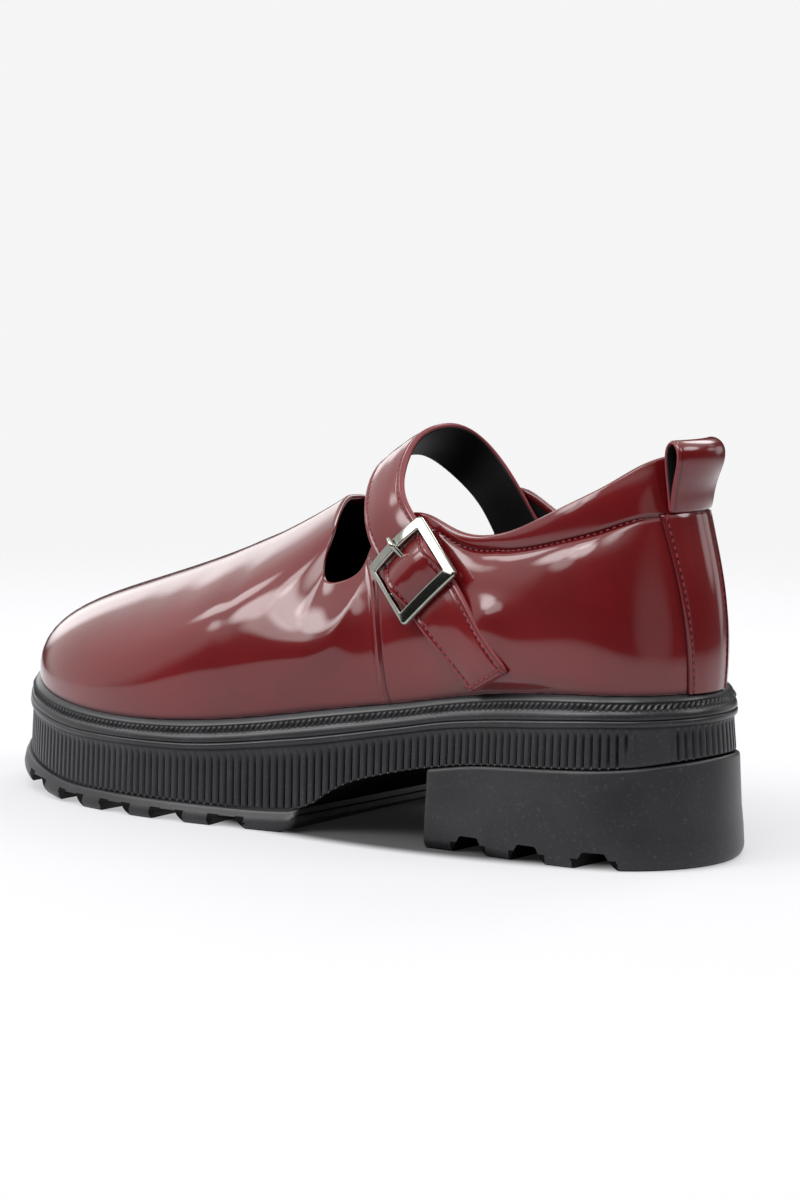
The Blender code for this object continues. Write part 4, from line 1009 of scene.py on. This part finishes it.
# %% The strap's own line
# A row for each section of the strap, its rear edge and its front edge.  "lateral" and "medial" edges
# lie on the upper at (x, z) and stand the third number away from it; "buckle" edges are (along, across,
# out) in the buckle's own directions; "free" edges are (x, y, z).
BUCKLE_X, BUCKLE_Z, BUCKLE_SIDE, BUCKLE_THICK, BUCKLE_STAND = 88.2, 82.0, 24.0, 2.1, 5.0
STRAP_SECTIONS = (
    ("lateral", (53.0, 56.2, 3.2), (68.0, 48.6, 2.4)),
    ("lateral", (62.6, 67.0, 2.8), (75.6, 57.0, 2.4)),
    ("buckle", (13.0, 8.8, 2.3), (13.0, -8.8, 2.3)),
    ("buckle", (10.0, 8.8, 2.5), (10.0, -8.8, 2.5)),
    ("buckle", (0.0, 8.8, 6.3), (0.0, -8.8, 6.3)),
    ("buckle", (-10.0, 8.8, 2.5), (-10.0, -8.8, 2.5)),
    ("buckle", (-13.0, 8.8, 2.3), (-13.0, -8.8, 2.3)),
    ("free", (98.4, 27.4, 103.6), (110.6, 30.4, 93.0)),
    ("free", (104.0, 20.6, 112.4), (118.4, 21.4, 103.2)),
    ("free", (106.4, 11.6, 120.0), (121.2, 12.6, 110.6)),
    ("free", (106.6, 0.0, 123.2), (121.4, 0.0, 113.8)),
    ("free", (107.0, -13.6, 121.2), (121.8, -13.2, 111.6)),
    ("free", (103.6, -21.0, 114.6), (118.4, -23.0, 104.0)),
    ("free", (96.8, -22.4, 106.2), (110.6, -24.4, 96.0)),
    ("medial", (91.2, 97.2, -3.7), (105.0, 86.0, -3.7)),
    ("medial", (86.4, 89.4, -3.7), (99.8, 77.6, -3.7)))

buckle_middle, buckle_out = on_last("lateral", BUCKLE_X, BUCKLE_Z)
buckle_along = np.array((-1.0, 0.0, -1.0))
buckle_along -= np.dot(buckle_along, buckle_out) * buckle_out
buckle_along /= np.linalg.norm(buckle_along)
buckle_across = np.cross(buckle_out, buckle_along)


def at_buckle(along, across, out):
    """Points in the buckle's own directions: towards the tail, across the strap, out from the foot."""
    along, across, out = (np.asarray(v, float)[..., None] for v in (along, across, out))
    return buckle_middle + along * buckle_along + across * buckle_across + out * buckle_out


sections = []
for kind, rear, front in STRAP_SECTIONS:
    trio = (np.array(rear), (np.array(rear) + np.array(front)) / 2, np.array(front))
    if kind == "buckle":
        trio = [at_buckle(*edge) for edge in trio]
    elif kind != "free":
        trio = [on_last(kind, *edge)[0] for edge in trio]
    sections.append(trio)
sections = np.array(sections)
knots = running_length(sections[:, 1])
strap_line = spline(knots, sections)
STRAP_LENGTH, STRAP_WIDTH = float(knots[-1]), 17.4
along = marks_along(STRAP_LENGTH, step=1.15, rim=0.5)
across = edge_marks(STRAP_WIDTH, rim=0.5, fine_to=3.0, fine=0.3, coarse=1.4)
rear, mid, front = (strap_line(along)[:, k][:, None] for k in range(3))
share = (across / STRAP_WIDTH)[None, :, None]
strap_middle = (2 * (share - 0.5) * (share - 1) * rear + 4 * share * (1 - share) * mid
                + 2 * share * (share - 0.5) * front)
strap_normal = unit(np.cross(np.gradient(strap_middle, axis=0), np.gradient(strap_middle, axis=1)))
if strap_normal[0, 0, 1] < 0:
    strap_normal = -strap_normal
from_edge = np.minimum(across, STRAP_WIDTH - across)[None, :]
from_tail = along[:, None]
from_end = np.minimum(from_tail, STRAP_LENGTH - from_tail)
soft = rim_shape(from_edge, 0.55) * rim_shape(from_end, 0.55)
print("strap length:", round(STRAP_LENGTH, 1), "grid:", strap_middle.shape[:2])

# %% The strap's leather, lining, edges and thread
SEW_IN, SEW_TAIL, STRAP_PITCH = 1.75, 1.9, 2.2      # the stitch rows' way in from the edges and the tail
STRAP_OVER, STRAP_MIDDLE, STRAP_UNDER = 1.0, -0.1, -0.95      # heights of its faces from the middle
BEAD_IN, BEAD_RADIUS, BEAD_STEP = 0.25, 0.66, 1.1
end_rows = 0.9 * hill(from_tail - SEW_TAIL, 0.35) + 0 * from_edge
thread_mask = np.clip(hill(from_edge - SEW_IN, 0.36) + end_rows, 0, 1)
puff = 0.34 * ramp(from_edge, SEW_IN, 6.0) * ramp(from_end, 1.0, 6.0)
slow_wave = 0.10 * np.sin(from_tail / 7.5 + 0.6 * np.sin(from_edge / 3)) + 0.06 * np.sin(from_tail / 3.1)
top = (STRAP_OVER - 0.22 * thread_mask + puff + slow_wave * ramp(from_edge, 1.0, 4.0)) * soft
# painted shade in the stitch grooves along both edges and across the tail
dark = np.clip(0.85 * thread_mask, 0, 1)
cut_piece("strap_leather", slab(strap_middle, strap_normal, top, STRAP_MIDDLE * soft), PATENT_STRAP,
          "burgundy_patent", "instep_strap", paint=wrap(dark, 0 * dark))
cut_piece("strap_lining", slab(strap_middle, strap_normal, STRAP_MIDDLE * soft, STRAP_UNDER * soft),
          LINING, "black_lining")


def nearest(marks, value):
    """Number of the mark that lies nearest to a value."""
    return int(np.argmin(np.abs(marks - value)))


edge_in, tail_in = nearest(across, BEAD_IN), nearest(along, 0.3)
edge_path = np.concatenate((strap_middle[tail_in + 2:-2, edge_in][::-1],
                            strap_middle[tail_in, edge_in + 2:-edge_in - 2],
                            strap_middle[tail_in + 2:-2, -1 - edge_in]))
steps = running_length(edge_path)
even = np.linspace(0, steps[-1], int(steps[-1] / BEAD_STEP))
bead = tube("strap_edge_paint", rows_at(even, steps, edge_path), BEAD_RADIUS, sides=10)
finish_piece(bead, EDGE_PAINT, "burgundy_patent")

surface = strap_middle + strap_normal * (top + 0.03)[..., None]
rows = []
for edge_row in (SEW_IN, STRAP_WIDTH - SEW_IN):
    column = nearest(across, edge_row)
    rows.append(stitch_places(surface[4:-4, column], strap_normal[4:-4, column], STRAP_PITCH))
tail_row = nearest(along, SEW_TAIL)
rows.append(stitch_places(surface[tail_row, 7:-7], strap_normal[tail_row, 7:-7], STRAP_PITCH))
sew("strap_stitches", rows, length=1.5, width=0.62, height=0.55)

# %% Stitches of the collar
COLLAR_PITCH, COLLAR_RUNS = 2.0, ((0.040, 0.212), (0.788, 0.960))      # mm, and places round the ring
line_row = low_rows - 1 + 9              # the row of the grid that runs along the stitch line
line_places = column_places(line_t)[:, 0]
collar_rows = []
for low, high in COLLAR_RUNS:
    run = [k for k in range(COLUMNS) if low < line_places[k] < high]
    line = outer[run, line_row] + 0.20 * outer_normal[run, line_row]
    collar_rows.append(stitch_places(line, outer_normal[run, line_row], COLLAR_PITCH))
ear_start, ear_normal = on_last("medial", 88.4, 90.6, 0.30)
ear_line = np.linspace(ear_start, on_last("medial", 98.6, 82.0, 0.30)[0], 12)
collar_rows.append(stitch_places(ear_line, np.tile(ear_normal, (12, 1)), COLLAR_PITCH))
sew("collar_stitches", collar_rows, length=1.25, width=0.48, height=0.5)

# %% [markdown]
# ## The buckle
# The frame is a square of flat bars that slant up to the opening, bowed a little across the strap.  It
# is one closed ring: a section swept round a square with tight corners.  The pin, the prong and the
# chape are kept apart, because in the real buckle the frame and the prong turn on the pin.


# %% Buckle frame and pin
CORNER_STEPS, STRAIGHT_STEPS = 7, 9


def corner_ring(insets, radius):
    """Points round a square with rounded corners, as (along, across); insets are for +along, -along,
    +across and -across."""
    half = BUCKLE_SIDE / 2
    ends = {(1, 0): half - insets[0], (-1, 0): insets[1] - half,
            (1, 1): half - insets[2], (-1, 1): insets[3] - half}
    signs = ((1, 1), (-1, 1), (-1, -1), (1, -1))
    middles = [np.array((ends[a, 0] - a * radius, ends[b, 1] - b * radius)) for a, b in signs]
    points = []
    for k, middle in enumerate(middles):
        start = math.pi / 2 * k
        for turn in np.linspace(start, start + math.pi / 2, CORNER_STEPS):
            points.append(middle + radius * np.array((math.cos(turn), math.sin(turn))))
        here = points[-1]
        there = middles[(k + 1) % 4] + radius * np.array((math.cos(turn), math.sin(turn)))
        points += [here + (there - here) * share for share in np.linspace(0, 1, STRAIGHT_STEPS)[1:-1]]
    return np.array(points + points[:1])


def bowed(along, across):
    """How far the frame bows out of its own plane, mostly at the bar the prong rests on."""
    front = ramp(-along, -12, 12)
    return (0.45 + 0.95 * front) * (0.62 - (across / 12) ** 2)


# section of a bar: share of its width in from the outside, height, and each bar's width in mm
half_thick = BUCKLE_THICK / 2
BAR_SECTION = ((0.08, -half_thick), (0.0, -0.7), (0.0, 0.18), (0.03, 0.44), (0.08, 0.62), (0.13, 0.70),
               (0.18, 0.73), (0.80, 1.06), (0.86, 1.07), (0.93, 0.94), (0.98, 0.70), (1.0, 0.42), (1.0, -0.7),
               (0.92, -half_thick))
BAR_WIDTHS = np.array((4.2, 3.7, 2.9, 1.9))
rings = []
for share, height in BAR_SECTION:
    ring = corner_ring(share * BAR_WIDTHS, max(0.35, 1.5 - share * 1.1))
    rings.append(at_buckle(ring[:, 0], ring[:, 1], BUCKLE_STAND + height + bowed(ring[:, 0], ring[:, 1])))
rings.append(rings[0])
cut_piece("buckle_frame_plated", np.stack(rings, axis=1), NICKEL, "bright_nickel", "buckle_frame", angle=40)
PIN_STAND, PIN_RADIUS, PIN_HALF = 3.0, 0.9, 10.3
reach = np.linspace(-PIN_HALF, PIN_HALF, 12)
pin = tube("buckle_pin", at_buckle(0 * reach, reach, PIN_STAND + 0 * reach), PIN_RADIUS, sides=16)
finish_piece(pin, NICKEL, "bright_nickel")

# %% Prong and chape
PRONG_HOLE, PRONG_RADIUS, PRONG_PLAY, EYE_STEPS = -8.4, 0.7, 0.25, 15
eye = PIN_RADIUS + PRONG_PLAY + PRONG_RADIUS
turn = np.radians(np.linspace(-150, 95, EYE_STEPS))
rest = BUCKLE_STAND + half_thick + 0.75 + float(bowed(-11.0, 0.0))      # it lies on the front bar here
prong_line = spline(np.arange(7), ((-0.6, 4.85), (-4.8, 4.9), (PRONG_HOLE, 6.9), (-9.2, rest - 0.02),
                                   (-10.0, rest + 0.22), (-11.0, rest + 0.18), (-12.0, rest - 0.12)))
prong = prong_line(np.linspace(0, 6, 30))
path = np.concatenate((np.column_stack((eye * np.cos(turn), PIN_STAND + eye * np.sin(turn))), prong[1:]))
radius = np.interp(np.arange(len(path)), (0, EYE_STEPS - 1, 30, len(path) - 1),
                   (PRONG_RADIUS, 0.8, 0.95, 0.72))
prong = tube("buckle_prong_plated", at_buckle(path[:, 0], 0 * path[:, 0], path[:, 1]), radius, sides=14)
finish_piece(prong, NICKEL, "bright_nickel", "buckle_prong")

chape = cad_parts["buckle_chape"].copy()
chape.data = chape.data.copy()
chape.name = chape.data.name = "buckle_chape_leather"
bpy.context.scene.collection.objects.link(chape)
seal(chape, merge=1e-6, angle=40)
finish_piece(chape, PATENT_STRAP, "burgundy_patent", "buckle_chape")

# the punched hole shows as a small dark rim round the prong
HOLE_RADIUS, HOLE_RIM = 1.25, 0.28
turn = np.linspace(0, 2 * math.pi, 25)[:-1, None]
line, normals = (grid[:, nearest(across, STRAP_WIDTH / 2)] for grid in (surface, strap_normal))
in_frame = (line - buckle_middle) @ buckle_along
row = nearest(in_frame, PRONG_HOLE - 0.4)
ahead = unit(line[row + 1] - line[row - 1])
ring = np.cos(turn) * ahead + np.sin(turn) * np.cross(normals[row], ahead)
ring = line[row] - 0.05 * normals[row] + HOLE_RADIUS * ring
hole = tube("prong_hole_rim", ring, HOLE_RIM, sides=8, closed=True)
finish_piece(hole, EDGE_PAINT, "burgundy_patent")

# %% [markdown]
# ## The sole
# Everything below the leather is moulded rubber.  The welt has a flat rim, a row of small twisted notches
# that imitates stitching, a bevel, a fine groove and a rounded lip.  Below it the band is ribbed all
# round except for a smooth patch on each side of the heel.  The heel block and the tread are plain,
# with notches cut right across.


# %% Rings round the sole
def sole_ring(places, inset, height):
    """Points of a ring at an inset and a height; all three may vary round it."""
    plan = plan_at(places) - np.asarray(inset, float).reshape(-1, 1) * out_at(places)
    return np.column_stack((plan, np.broadcast_to(height, (len(places),))))


def ring_places(count, inset):
    """Places round the sole that are evenly spaced along the ring at that inset."""
    fine = np.linspace(0, 1, 4 * PLAN_STEPS + 1)
    length = running_length(plan_at(fine) - inset * out_at(fine))
    return np.append(np.interp(np.linspace(0, length[-1], count + 1)[:-1], length, fine), 1.0)


def whole_ring(rings):
    """Grid of the rings whose last column is its first."""
    grid = np.stack(rings, axis=1)
    grid[-1] = grid[0]
    return grid


KNURLS, KNURL_STEPS, KNURL_INSET = 312, 5, 3.4
places = ring_places(KNURLS * KNURL_STEPS, KNURL_INSET)
x = plan_at(places)[:, 0]
low, high = long_line(BAND_TOP, x) + GAP, feather(x)
# the welt's section: inset from the outer line, share of the height, and how deep the twist is there
WELT_LINE = (
    (12.0, 0.00, 0), (4.3, 0.00, 0), (3.1, 0.00, 0), (2.62, 0.02, 0), (2.36, 0.06, 0), (2.28, 0.11, 0),
    (2.30, 0.17, 0), (2.42, 0.205, 0), (2.80, 0.228, 0), (2.86, 0.245, 0), (2.52, 0.262, 0),
    (2.42, 0.29, 0), (2.50, 0.37, 0), (2.72, 0.45, 0), (2.98, 0.500, 0), (3.22, 0.525, -0.6),
    (3.28, 0.56, 0.5), (3.34, 0.60, 1), (3.42, 0.64, 1), (3.52, 0.68, 1), (3.64, 0.72, 0.5),
    (3.76, 0.755, -0.4), (3.78, 0.785, 0), (3.98, 0.83, 0), (4.40, 0.89, 0), (5.00, 0.95, 0),
    (5.9, 1.00, 0), (12.0, 1.00, 0), (12.0, 0.00, 0))
TWIST_DEPTH, TWIST_LIFT, TWIST_LEAN, CRACKS = 0.62, 0.16, 22, ((0.232, 0.016), (0.775, 0.02))
phase = 2 * math.pi * np.arange(len(places)) / KNURL_STEPS
uneven = 0.75 + 0.25 * np.sin(places * 2 * math.pi * 37) * np.sin(places * 2 * math.pi * 11)
rings, grooves = [], []
for inset, share, twist in WELT_LINE:
    lean = phase + (share - 0.62) * TWIST_LEAN
    carve, lift, dark = 0.12 * abs(twist) * uneven, 0, 0 * places
    if twist > 0:
        carve, lift = TWIST_DEPTH * twist * np.cos(lean) * uneven, TWIST_LIFT * np.sin(lean)
        # painted shade in the pits of the twisted notches
        dark = 0.9 * twist * ramp(np.cos(lean), 0.2, 0.9)
    rings.append(sole_ring(places, inset + 0.10 + carve, low + share * (high - low) + lift))
    # painted shade in the welt's two fine grooves
    crack = 0.9 * max(hill(share - at, width) for at, width in CRACKS)
    grooves.append(np.clip(crack + dark, 0, 1))
cut_piece("welt_ring", whole_ring(rings), RUBBER_LIP, "black_rubber", "welt",
          paint=np.stack(grooves, axis=1), angle=70)

# %% The ribbed band
RIBS, RIB_STEPS, RIB_INSET, RIB_DEPTH, BAND_BACK = 241, 8, 3.0, 0.78, 4.7
SMOOTH_LOW, SMOOTH_HIGH = 0.0275, 0.0485      # the smooth patch, as places round the sole
places = ring_places(RIBS * RIB_STEPS, RIB_INSET)
beside, x = half_ring(places), plan_at(places)[:, 0]
foot, head = long_line(BAND_FOOT, x) + 0.02, long_line(BAND_TOP, x) + GAP + 0.05
crest = 0.5 + 0.5 * np.cos(2 * math.pi * np.arange(len(places)) / RIB_STEPS)
rib = ramp(crest, 0.0, 0.40)
rings, grooves = [], []
for share in (0.0, 0.035, 0.10, 0.20, 0.34, 0.48, 0.62, 0.74, 0.83, 0.90, 0.95, 1.0):
    widen = 0.0035 * math.cos(math.pi * share)
    patch = ramp(beside, SMOOTH_LOW - 0.002, SMOOTH_LOW + 0.001) * (
        1 - ramp(beside, SMOOTH_HIGH - 0.001 + widen, SMOOTH_HIGH + 0.002 + widen))
    ends = ramp(share, 0.0, 0.05) * (1 - ramp(share, 0.80, 0.95))
    groove = (1 - rib) * ends * (1 - patch)
    depth = (RIB_DEPTH + 0.1 * share) * groove
    soft_foot = 0.32 * (1 - ramp(share, 0.0, 0.05))
    inset = 2.42 + 0.82 * share + depth + 0.30 * patch * (0.6 + 0.4 * ends) + soft_foot
    rings.append(sole_ring(places, inset, foot + share * (head - foot)))
    # painted shade in the grooves between the ribs and along the band's top under the welt; the hidden inside
    # is painted dark all over
    grooves.append(np.clip(0.70 * groove + 0.7 * (share > 0.97), 0, 1))
rings += [sole_ring(places, BAND_BACK, head), sole_ring(places, BAND_BACK, foot), rings[0]]
grooves += [1 + 0 * places, 1 + 0 * places, grooves[0]]
cut_piece("ribbed_band", whole_ring(rings), RUBBER, "black_rubber",
          paint=0.5 * np.stack(grooves, axis=1), angle=70)


# %% Blocks cut from the outline
BLOCK_CORNER, SIDE_STEPS, BEND_STEPS, CUT_STEPS = 1.6, 420, 7, 64


def cut_outline(inset, cut, back_part):
    """Closed outline in from the sole's edge, cut straight across at x = cut, its corners rounded."""
    fine = np.linspace(0, 1, 6 * PLAN_STEPS + 1)[:-1]
    line = plan_at(fine) - inset * out_at(fine)
    if back_part:
        line = np.roll(line, 3 * PLAN_STEPS, axis=0)
    kept = line[line[:, 0] < cut] if back_part else line[line[:, 0] > cut]
    length = running_length(kept)
    side = rows_at(np.linspace(BLOCK_CORNER, length[-1] - BLOCK_CORNER, SIDE_STEPS), length, kept)
    first, last = (np.array((cut, end[1])) for end in (kept[0], kept[-1]))
    step = BLOCK_CORNER * np.sign(first - last)
    bend = np.linspace(0, 1, BEND_STEPS)[1:-1, None]
    turn_in = (1 - bend) ** 2 * side[-1] + 2 * bend * (1 - bend) * last + bend ** 2 * (last + step)
    turn_out = (1 - bend) ** 2 * (first - step) + 2 * bend * (1 - bend) * first + bend ** 2 * side[0]
    front = np.linspace(last + step, first - step, CUT_STEPS)
    return np.vstack((side, turn_in, front, turn_out))


def ring_stack(name, rings):
    """Closed solid through rings of points, one above the other, with flat ends."""
    count = len(rings[0])
    faces = [tuple(range(count)), tuple(range((len(rings) - 1) * count, len(rings) * count))]
    for start in range(0, (len(rings) - 1) * count, count):
        for k in range(count):
            after = start + (k + 1) % count
            faces.append((start + k, after, after + count, start + k + count))
    return seal(add_mesh(name, np.vstack(rings), faces), angle=45)


def rubber_block(name, cut, back_part, foot_at, top_at, section, notches, notch_depth):
    """Solid between two long lines; section rows are (inset, from the foot, from the top)."""
    rings = []
    for inset, above_foot, below_top in section:
        plan = cut_outline(inset, cut, back_part)
        foot, top = foot_at(plan[:, 0]), top_at(plan[:, 0])
        height = top - below_top if above_foot is None else foot + above_foot
        rings.append(np.column_stack((plan, height)))
    block = ring_stack(name, rings)
    for x in notches:
        cut_notch(block, x, float(foot_at(np.array((x,)))[0]), notch_depth)
    seal(block, angle=45)
    # painted shade: the walls of the notches and the flat of the foot are painted dark
    dark = block.data.attributes.new("seam", "FLOAT", "FACE")
    for face in block.data.polygons:
        x, _, z = np.array(face.center) / MM - SHIFT
        under = z - float(foot_at(np.array((x,)))[0])
        near = any(abs(x - at) < NOTCH_REACH and under < notch_depth + 0.05 for at in notches)
        flat = abs(face.normal.z) > 0.75 and under < 0.3
        dark.data[face.index].value = 1.0 if near or flat else 0.0
    return block


# half width of a notch at its mouth and its roof, and the radii of its corners, in mm
NOTCH_MOUTH, NOTCH_ROOF, MOUTH_RADIUS, ROOF_RADIUS, NOTCH_REACH, CUTTER_SIDE = 6.0, 3.75, 0.9, 1.1, 6.6, 70.0


def cut_notch(block, x, foot, depth):
    """Cuts a wedge with rounded inner corners right across a block."""
    wall = [(NOTCH_MOUTH + MOUTH_RADIUS - MOUTH_RADIUS * math.sin(a),
             MOUTH_RADIUS - MOUTH_RADIUS * math.cos(a)) for a in np.linspace(0, 1.2, 5)]
    roof = [(NOTCH_ROOF - ROOF_RADIUS + ROOF_RADIUS * math.cos(a),
             depth - ROOF_RADIUS + ROOF_RADIUS * math.sin(a)) for a in np.linspace(0.35, math.pi / 2, 6)]
    half = [(wall[0][0] + 1.5, -3.0), (wall[0][0], -0.02)] + wall[1:] + roof
    profile = half + [(-a, b) for a, b in half[::-1]]
    rings = [np.array([(x + a, y, foot + b) for a, b in profile]) for y in (-CUTTER_SIDE, CUTTER_SIDE)]
    cutter = ring_stack("notch", rings)
    alone(block)
    step = block.modifiers.new("notch", "BOOLEAN")
    step.operation, step.object, step.solver = "DIFFERENCE", cutter, "EXACT"
    bpy.ops.object.modifier_apply(modifier=step.name)
    bpy.data.objects.remove(cutter, do_unlink=True)


print("blocks and notches ready")


# %% The heel block and the tread
def bevel(wide, high, inset, steps):
    """Section rows of a rounded bottom edge."""
    return [(wide * (1 - math.sin(a)) + inset, high * (1 - math.cos(a)), 0)
            for a in np.linspace(0, math.pi / 2, steps)]


HEEL_NOTCHES, HEEL_NOTCH_DEPTH = (23.0, 45.3, 67.0), 5.2
TREAD_NOTCHES, TREAD_NOTCH_DEPTH = (152.0, 174.0, 196.0, 218.0, 240.0), 3.6
HEEL_SECTION = bevel(1.8, 3.2, 0.1, 7) + [
    (0.42, 9.0, 0), (1.00, 15.0, 0), (1.62, None, 1.3), (1.72, None, 0.7), (1.92, None, 0.32),
    (2.25, None, 0.08), (2.9, None, 0.0)]
heel = rubber_block("heel_block_rubber", HEEL_BREAST, True, lambda x: 0 * x,
                    lambda x: long_line(HEEL_TOP, x) + 0.04, HEEL_SECTION, HEEL_NOTCHES, HEEL_NOTCH_DEPTH)
finish_piece(heel, RUBBER, "black_rubber", "heel_block")
TREAD_FOOT = ((128, 3.6), (131, 1.0), (134, 0.0), (212, 0.0), (245, 3.0), (275, 9.0))
TREAD_SECTION = bevel(1.4, 2.2, 0.05, 6) + [
    (0.55, None, 2.2), (1.15, None, 1.0), (1.30, None, 0.45), (1.60, None, 0.12), (2.3, None, 0.0)]
tread = rubber_block("forefoot_tread_rubber", TREAD_BACK, False, lambda x: long_line(TREAD_FOOT, x),
                     lambda x: long_line(BAND_FOOT, x) - 0.12, TREAD_SECTION, TREAD_NOTCHES,
                     TREAD_NOTCH_DEPTH)
finish_piece(tread, RUBBER, "black_rubber", "forefoot_tread")
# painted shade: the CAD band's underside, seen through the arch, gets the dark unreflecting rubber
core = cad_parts["midsole_band"]
core.data.materials.clear()
core.data.materials.append(SHADED_RUBBER)

# %% The insole
SOCK_INSET, SPINE_X, SPINE_Y = 8.3, (34.0, 120.0, 236.0), (0.0, 4.0, 1.0)
places = RING[:-1]
x = plan_at(places)[:, 0]
edge = plan_at(places) - SOCK_INSET * out_at(places)
spine_x = np.clip(edge[:, 0], SPINE_X[0], SPINE_X[-1])
spine = np.column_stack((spine_x, np.interp(spine_x, SPINE_X, SPINE_Y)))
rings = [np.column_stack((spine + share * (edge - spine), feather(x) + lift)) for share, lift in (
    (0.97, 0.0), (1.0, 0.1), (1.0, 2.3), (0.995, 2.7), (0.98, 2.95), (0.95, 3.05), (0.80, 3.15),
    (0.60, 3.3), (0.40, 3.4))]
insole = ring_stack("insole_sock", rings)
finish_piece(insole, LINING, "black_lining", "insole")

# %% [markdown]
# ## Looking through the camera
# The camera stands at the outer side of the heel, a little above the shoe, with a long lens.  It is
# aimed at the shoe and not shifted, so every other view stays centred too.

# %% Camera
CAMERA_STAND = (-655.0, 916.0, 215.0)      # mm, in the CAD source's own frame
HEADING, RIGHTWARD = np.array((0.588, -0.809, 0.0)), np.array((-0.809, -0.588, 0.0))
TO_LEFT, TO_GROUND = 0.0762, 0.1225         # how far the sight turns away from the heading
camera = add_object("camera", bpy.data.cameras.new("camera"))
bpy.context.scene.camera = camera
camera.data.lens = 117.0
camera.data.clip_end = 30.0
sight = Vector(HEADING - TO_LEFT * RIGHTWARD - TO_GROUND * UP)
camera.location = Vector((CAMERA_STAND + SHIFT) * MM)
camera.rotation_euler = sight.to_track_quat("-Z", "Y").to_euler()
print("camera at", [round(c, 3) for c in camera.location])

# %% [markdown]
# ## The studio
# Patent leather shows its room.  The floor is pale and broad, the wall behind the shoe and the ceiling
# are bright, and the room behind the camera is dark up to a little above eye level, which keeps the red
# deep.  One broad lamp overhead and a faint one behind light the floor and the edges.  The windows,
# soft bright spots of the room itself, draw the highlights on the leather and the metal.

# %% Floor
FLOOR_RADIUS, FADE_START, FADE_END = 2.6, 0.38, 0.82            # metres
SHADE_BACK, SHADE_HALF_LONG, SHADE_HALF_WIDE = 0.020, 0.118, 0.0455
bpy.ops.mesh.primitive_circle_add(vertices=96, radius=FLOOR_RADIUS, fill_type="NGON", location=(0, 0, 0))
floor = bpy.context.object
floor.name = "studio_floor"
material, tree, shader, place = new_material(
    "pale_floor", Roughness=0.9, Specular_IOR_Level=0.1, Emission_Strength=0.47)
reach = add(tree, "VectorMath", {0: place}, operation="LENGTH").outputs["Value"]
tree.links.new(levels(tree, reach, FADE_START, FADE_END, 1.0, 0.0), shader.inputs["Alpha"])
# painted shadow: close under the shoe the floor's glow and colour are darkened in a long soft oval, as wide
# as the sole
oval = add(tree, "VectorMath", {0: place, 1: (1 / SHADE_HALF_LONG, 1 / SHADE_HALF_WIDE, 0.0),
                                2: (SHADE_BACK / SHADE_HALF_LONG, 0.0, 0.0)}, operation="MULTIPLY_ADD")
under = add(tree, "VectorMath", {0: oval.outputs["Vector"]}, operation="LENGTH").outputs["Value"]
shade = levels(tree, under, 0.84, 1.06, 0.02, 1.0)
for label, dark, pale in (("Emission Color", (0, 0, 0, 1), (0.98, 0.98, 1.0, 1)),
                          ("Base Color", (0.07, 0.07, 0.072, 1), (0.30, 0.30, 0.31, 1))):
    tree.links.new(mix(tree, shade, dark, pale), shader.inputs[label])
floor.data.materials.append(material)
print("floor fades out from", FADE_START, "to", FADE_END, "m")


# %% Soft lamps
def direction_at(turn, rise):
    """Direction at a turn round the shoe and a rise over the floor, both in degrees."""
    turn, rise = math.radians(turn), math.radians(rise)
    return math.cos(turn) * math.cos(rise), math.sin(turn) * math.cos(rise), math.sin(rise)


def soft_lamp(name, turn, rise, distance, size, power):
    """Oblong lamp at a turn and a rise, facing a point a little above the floor."""
    lamp = add_object(name, bpy.data.lights.new(name, "AREA"))
    lamp.data.shape = "RECTANGLE"
    lamp.data.size, lamp.data.size_y = size
    lamp.data.energy = power
    where = Vector(direction_at(turn, rise))
    lamp.location = where * distance + Vector((0, 0, 0.06))
    lamp.rotation_euler = (-where).to_track_quat("-Z", "Y").to_euler()
    return lamp


lamps = (soft_lamp("overhead", turn=0, rise=86, distance=1.7, size=(1.3, 1.1), power=3.0),
         soft_lamp("back_window", turn=-112, rise=26, distance=1.8, size=(0.34, 0.34), power=0.25))
print("lamps:", {lamp.name: lamp.data.energy for lamp in lamps})

# %% The room
# The windows are soft bright spots of the room: turn, rise, full and faded radius in degrees, brightness.
WINDOWS = ((20, 38, 4, 9, 5.0), (51, 34, 5, 12, 7.0), (73, 38, 5, 13, 7.0), (61, 48, 4, 10, 6.0),
           (65, 25, 4, 10, 3.2), (-30, 13, 5, 14, 2.0),
           (112, 56, 6, 21, 5.0), (-148, 34, 7, 16, 5.5), (-85, 39, 7, 15, 5.0),
           (-103, 4, 5, 13, 1.0), (-119, 12, 3, 9, 1.5), (162, 2, 8, 22, 0.45))
world = bpy.data.worlds.new("studio")
bpy.context.scene.world = world
world.use_nodes = True
tree = world.node_tree
tree.nodes.clear()
direction = add(tree, "TexCoord").outputs["Generated"]


def facing(towards):
    """1 in that direction of the room, less beside it."""
    return add(tree, "VectorMath", {0: direction, 1: towards}, operation="DOT_PRODUCT").outputs["Value"]


ceiling = levels(tree, facing((0.0, 0.0, 1.0)), 0.38, 0.66, 0.03, 0.95)
wall = levels(tree, facing((0.966, 0.259, 0.6)), 0.80, 0.97, 0.03, 0.80)
light = math_node(tree, "MAXIMUM", ceiling, wall)
for turn, rise, full, faded, brightness in WINDOWS:
    outer_edge, inner_edge = math.cos(math.radians(faded)), math.cos(math.radians(full))
    window = levels(tree, facing(direction_at(turn, rise)), outer_edge, inner_edge, 0.0, brightness)
    light = math_node(tree, "ADD", light, window)
room = add(tree, "Background", {"Color": light}).outputs[0]
seen = add(tree, "Background", {"Color": (0.915, 0.915, 0.918, 1)}).outputs[0]
eye = add(tree, "LightPath").outputs["Is Camera Ray"]
choose = add(tree, "MixShader", {0: eye, 1: room, 2: seen}).outputs[0]
add(tree, "OutputWorld", {0: choose})
bpy.context.scene.view_settings.view_transform = "Standard"
print("windows in the room:", len(WINDOWS))

# %% The end
print("scene built")
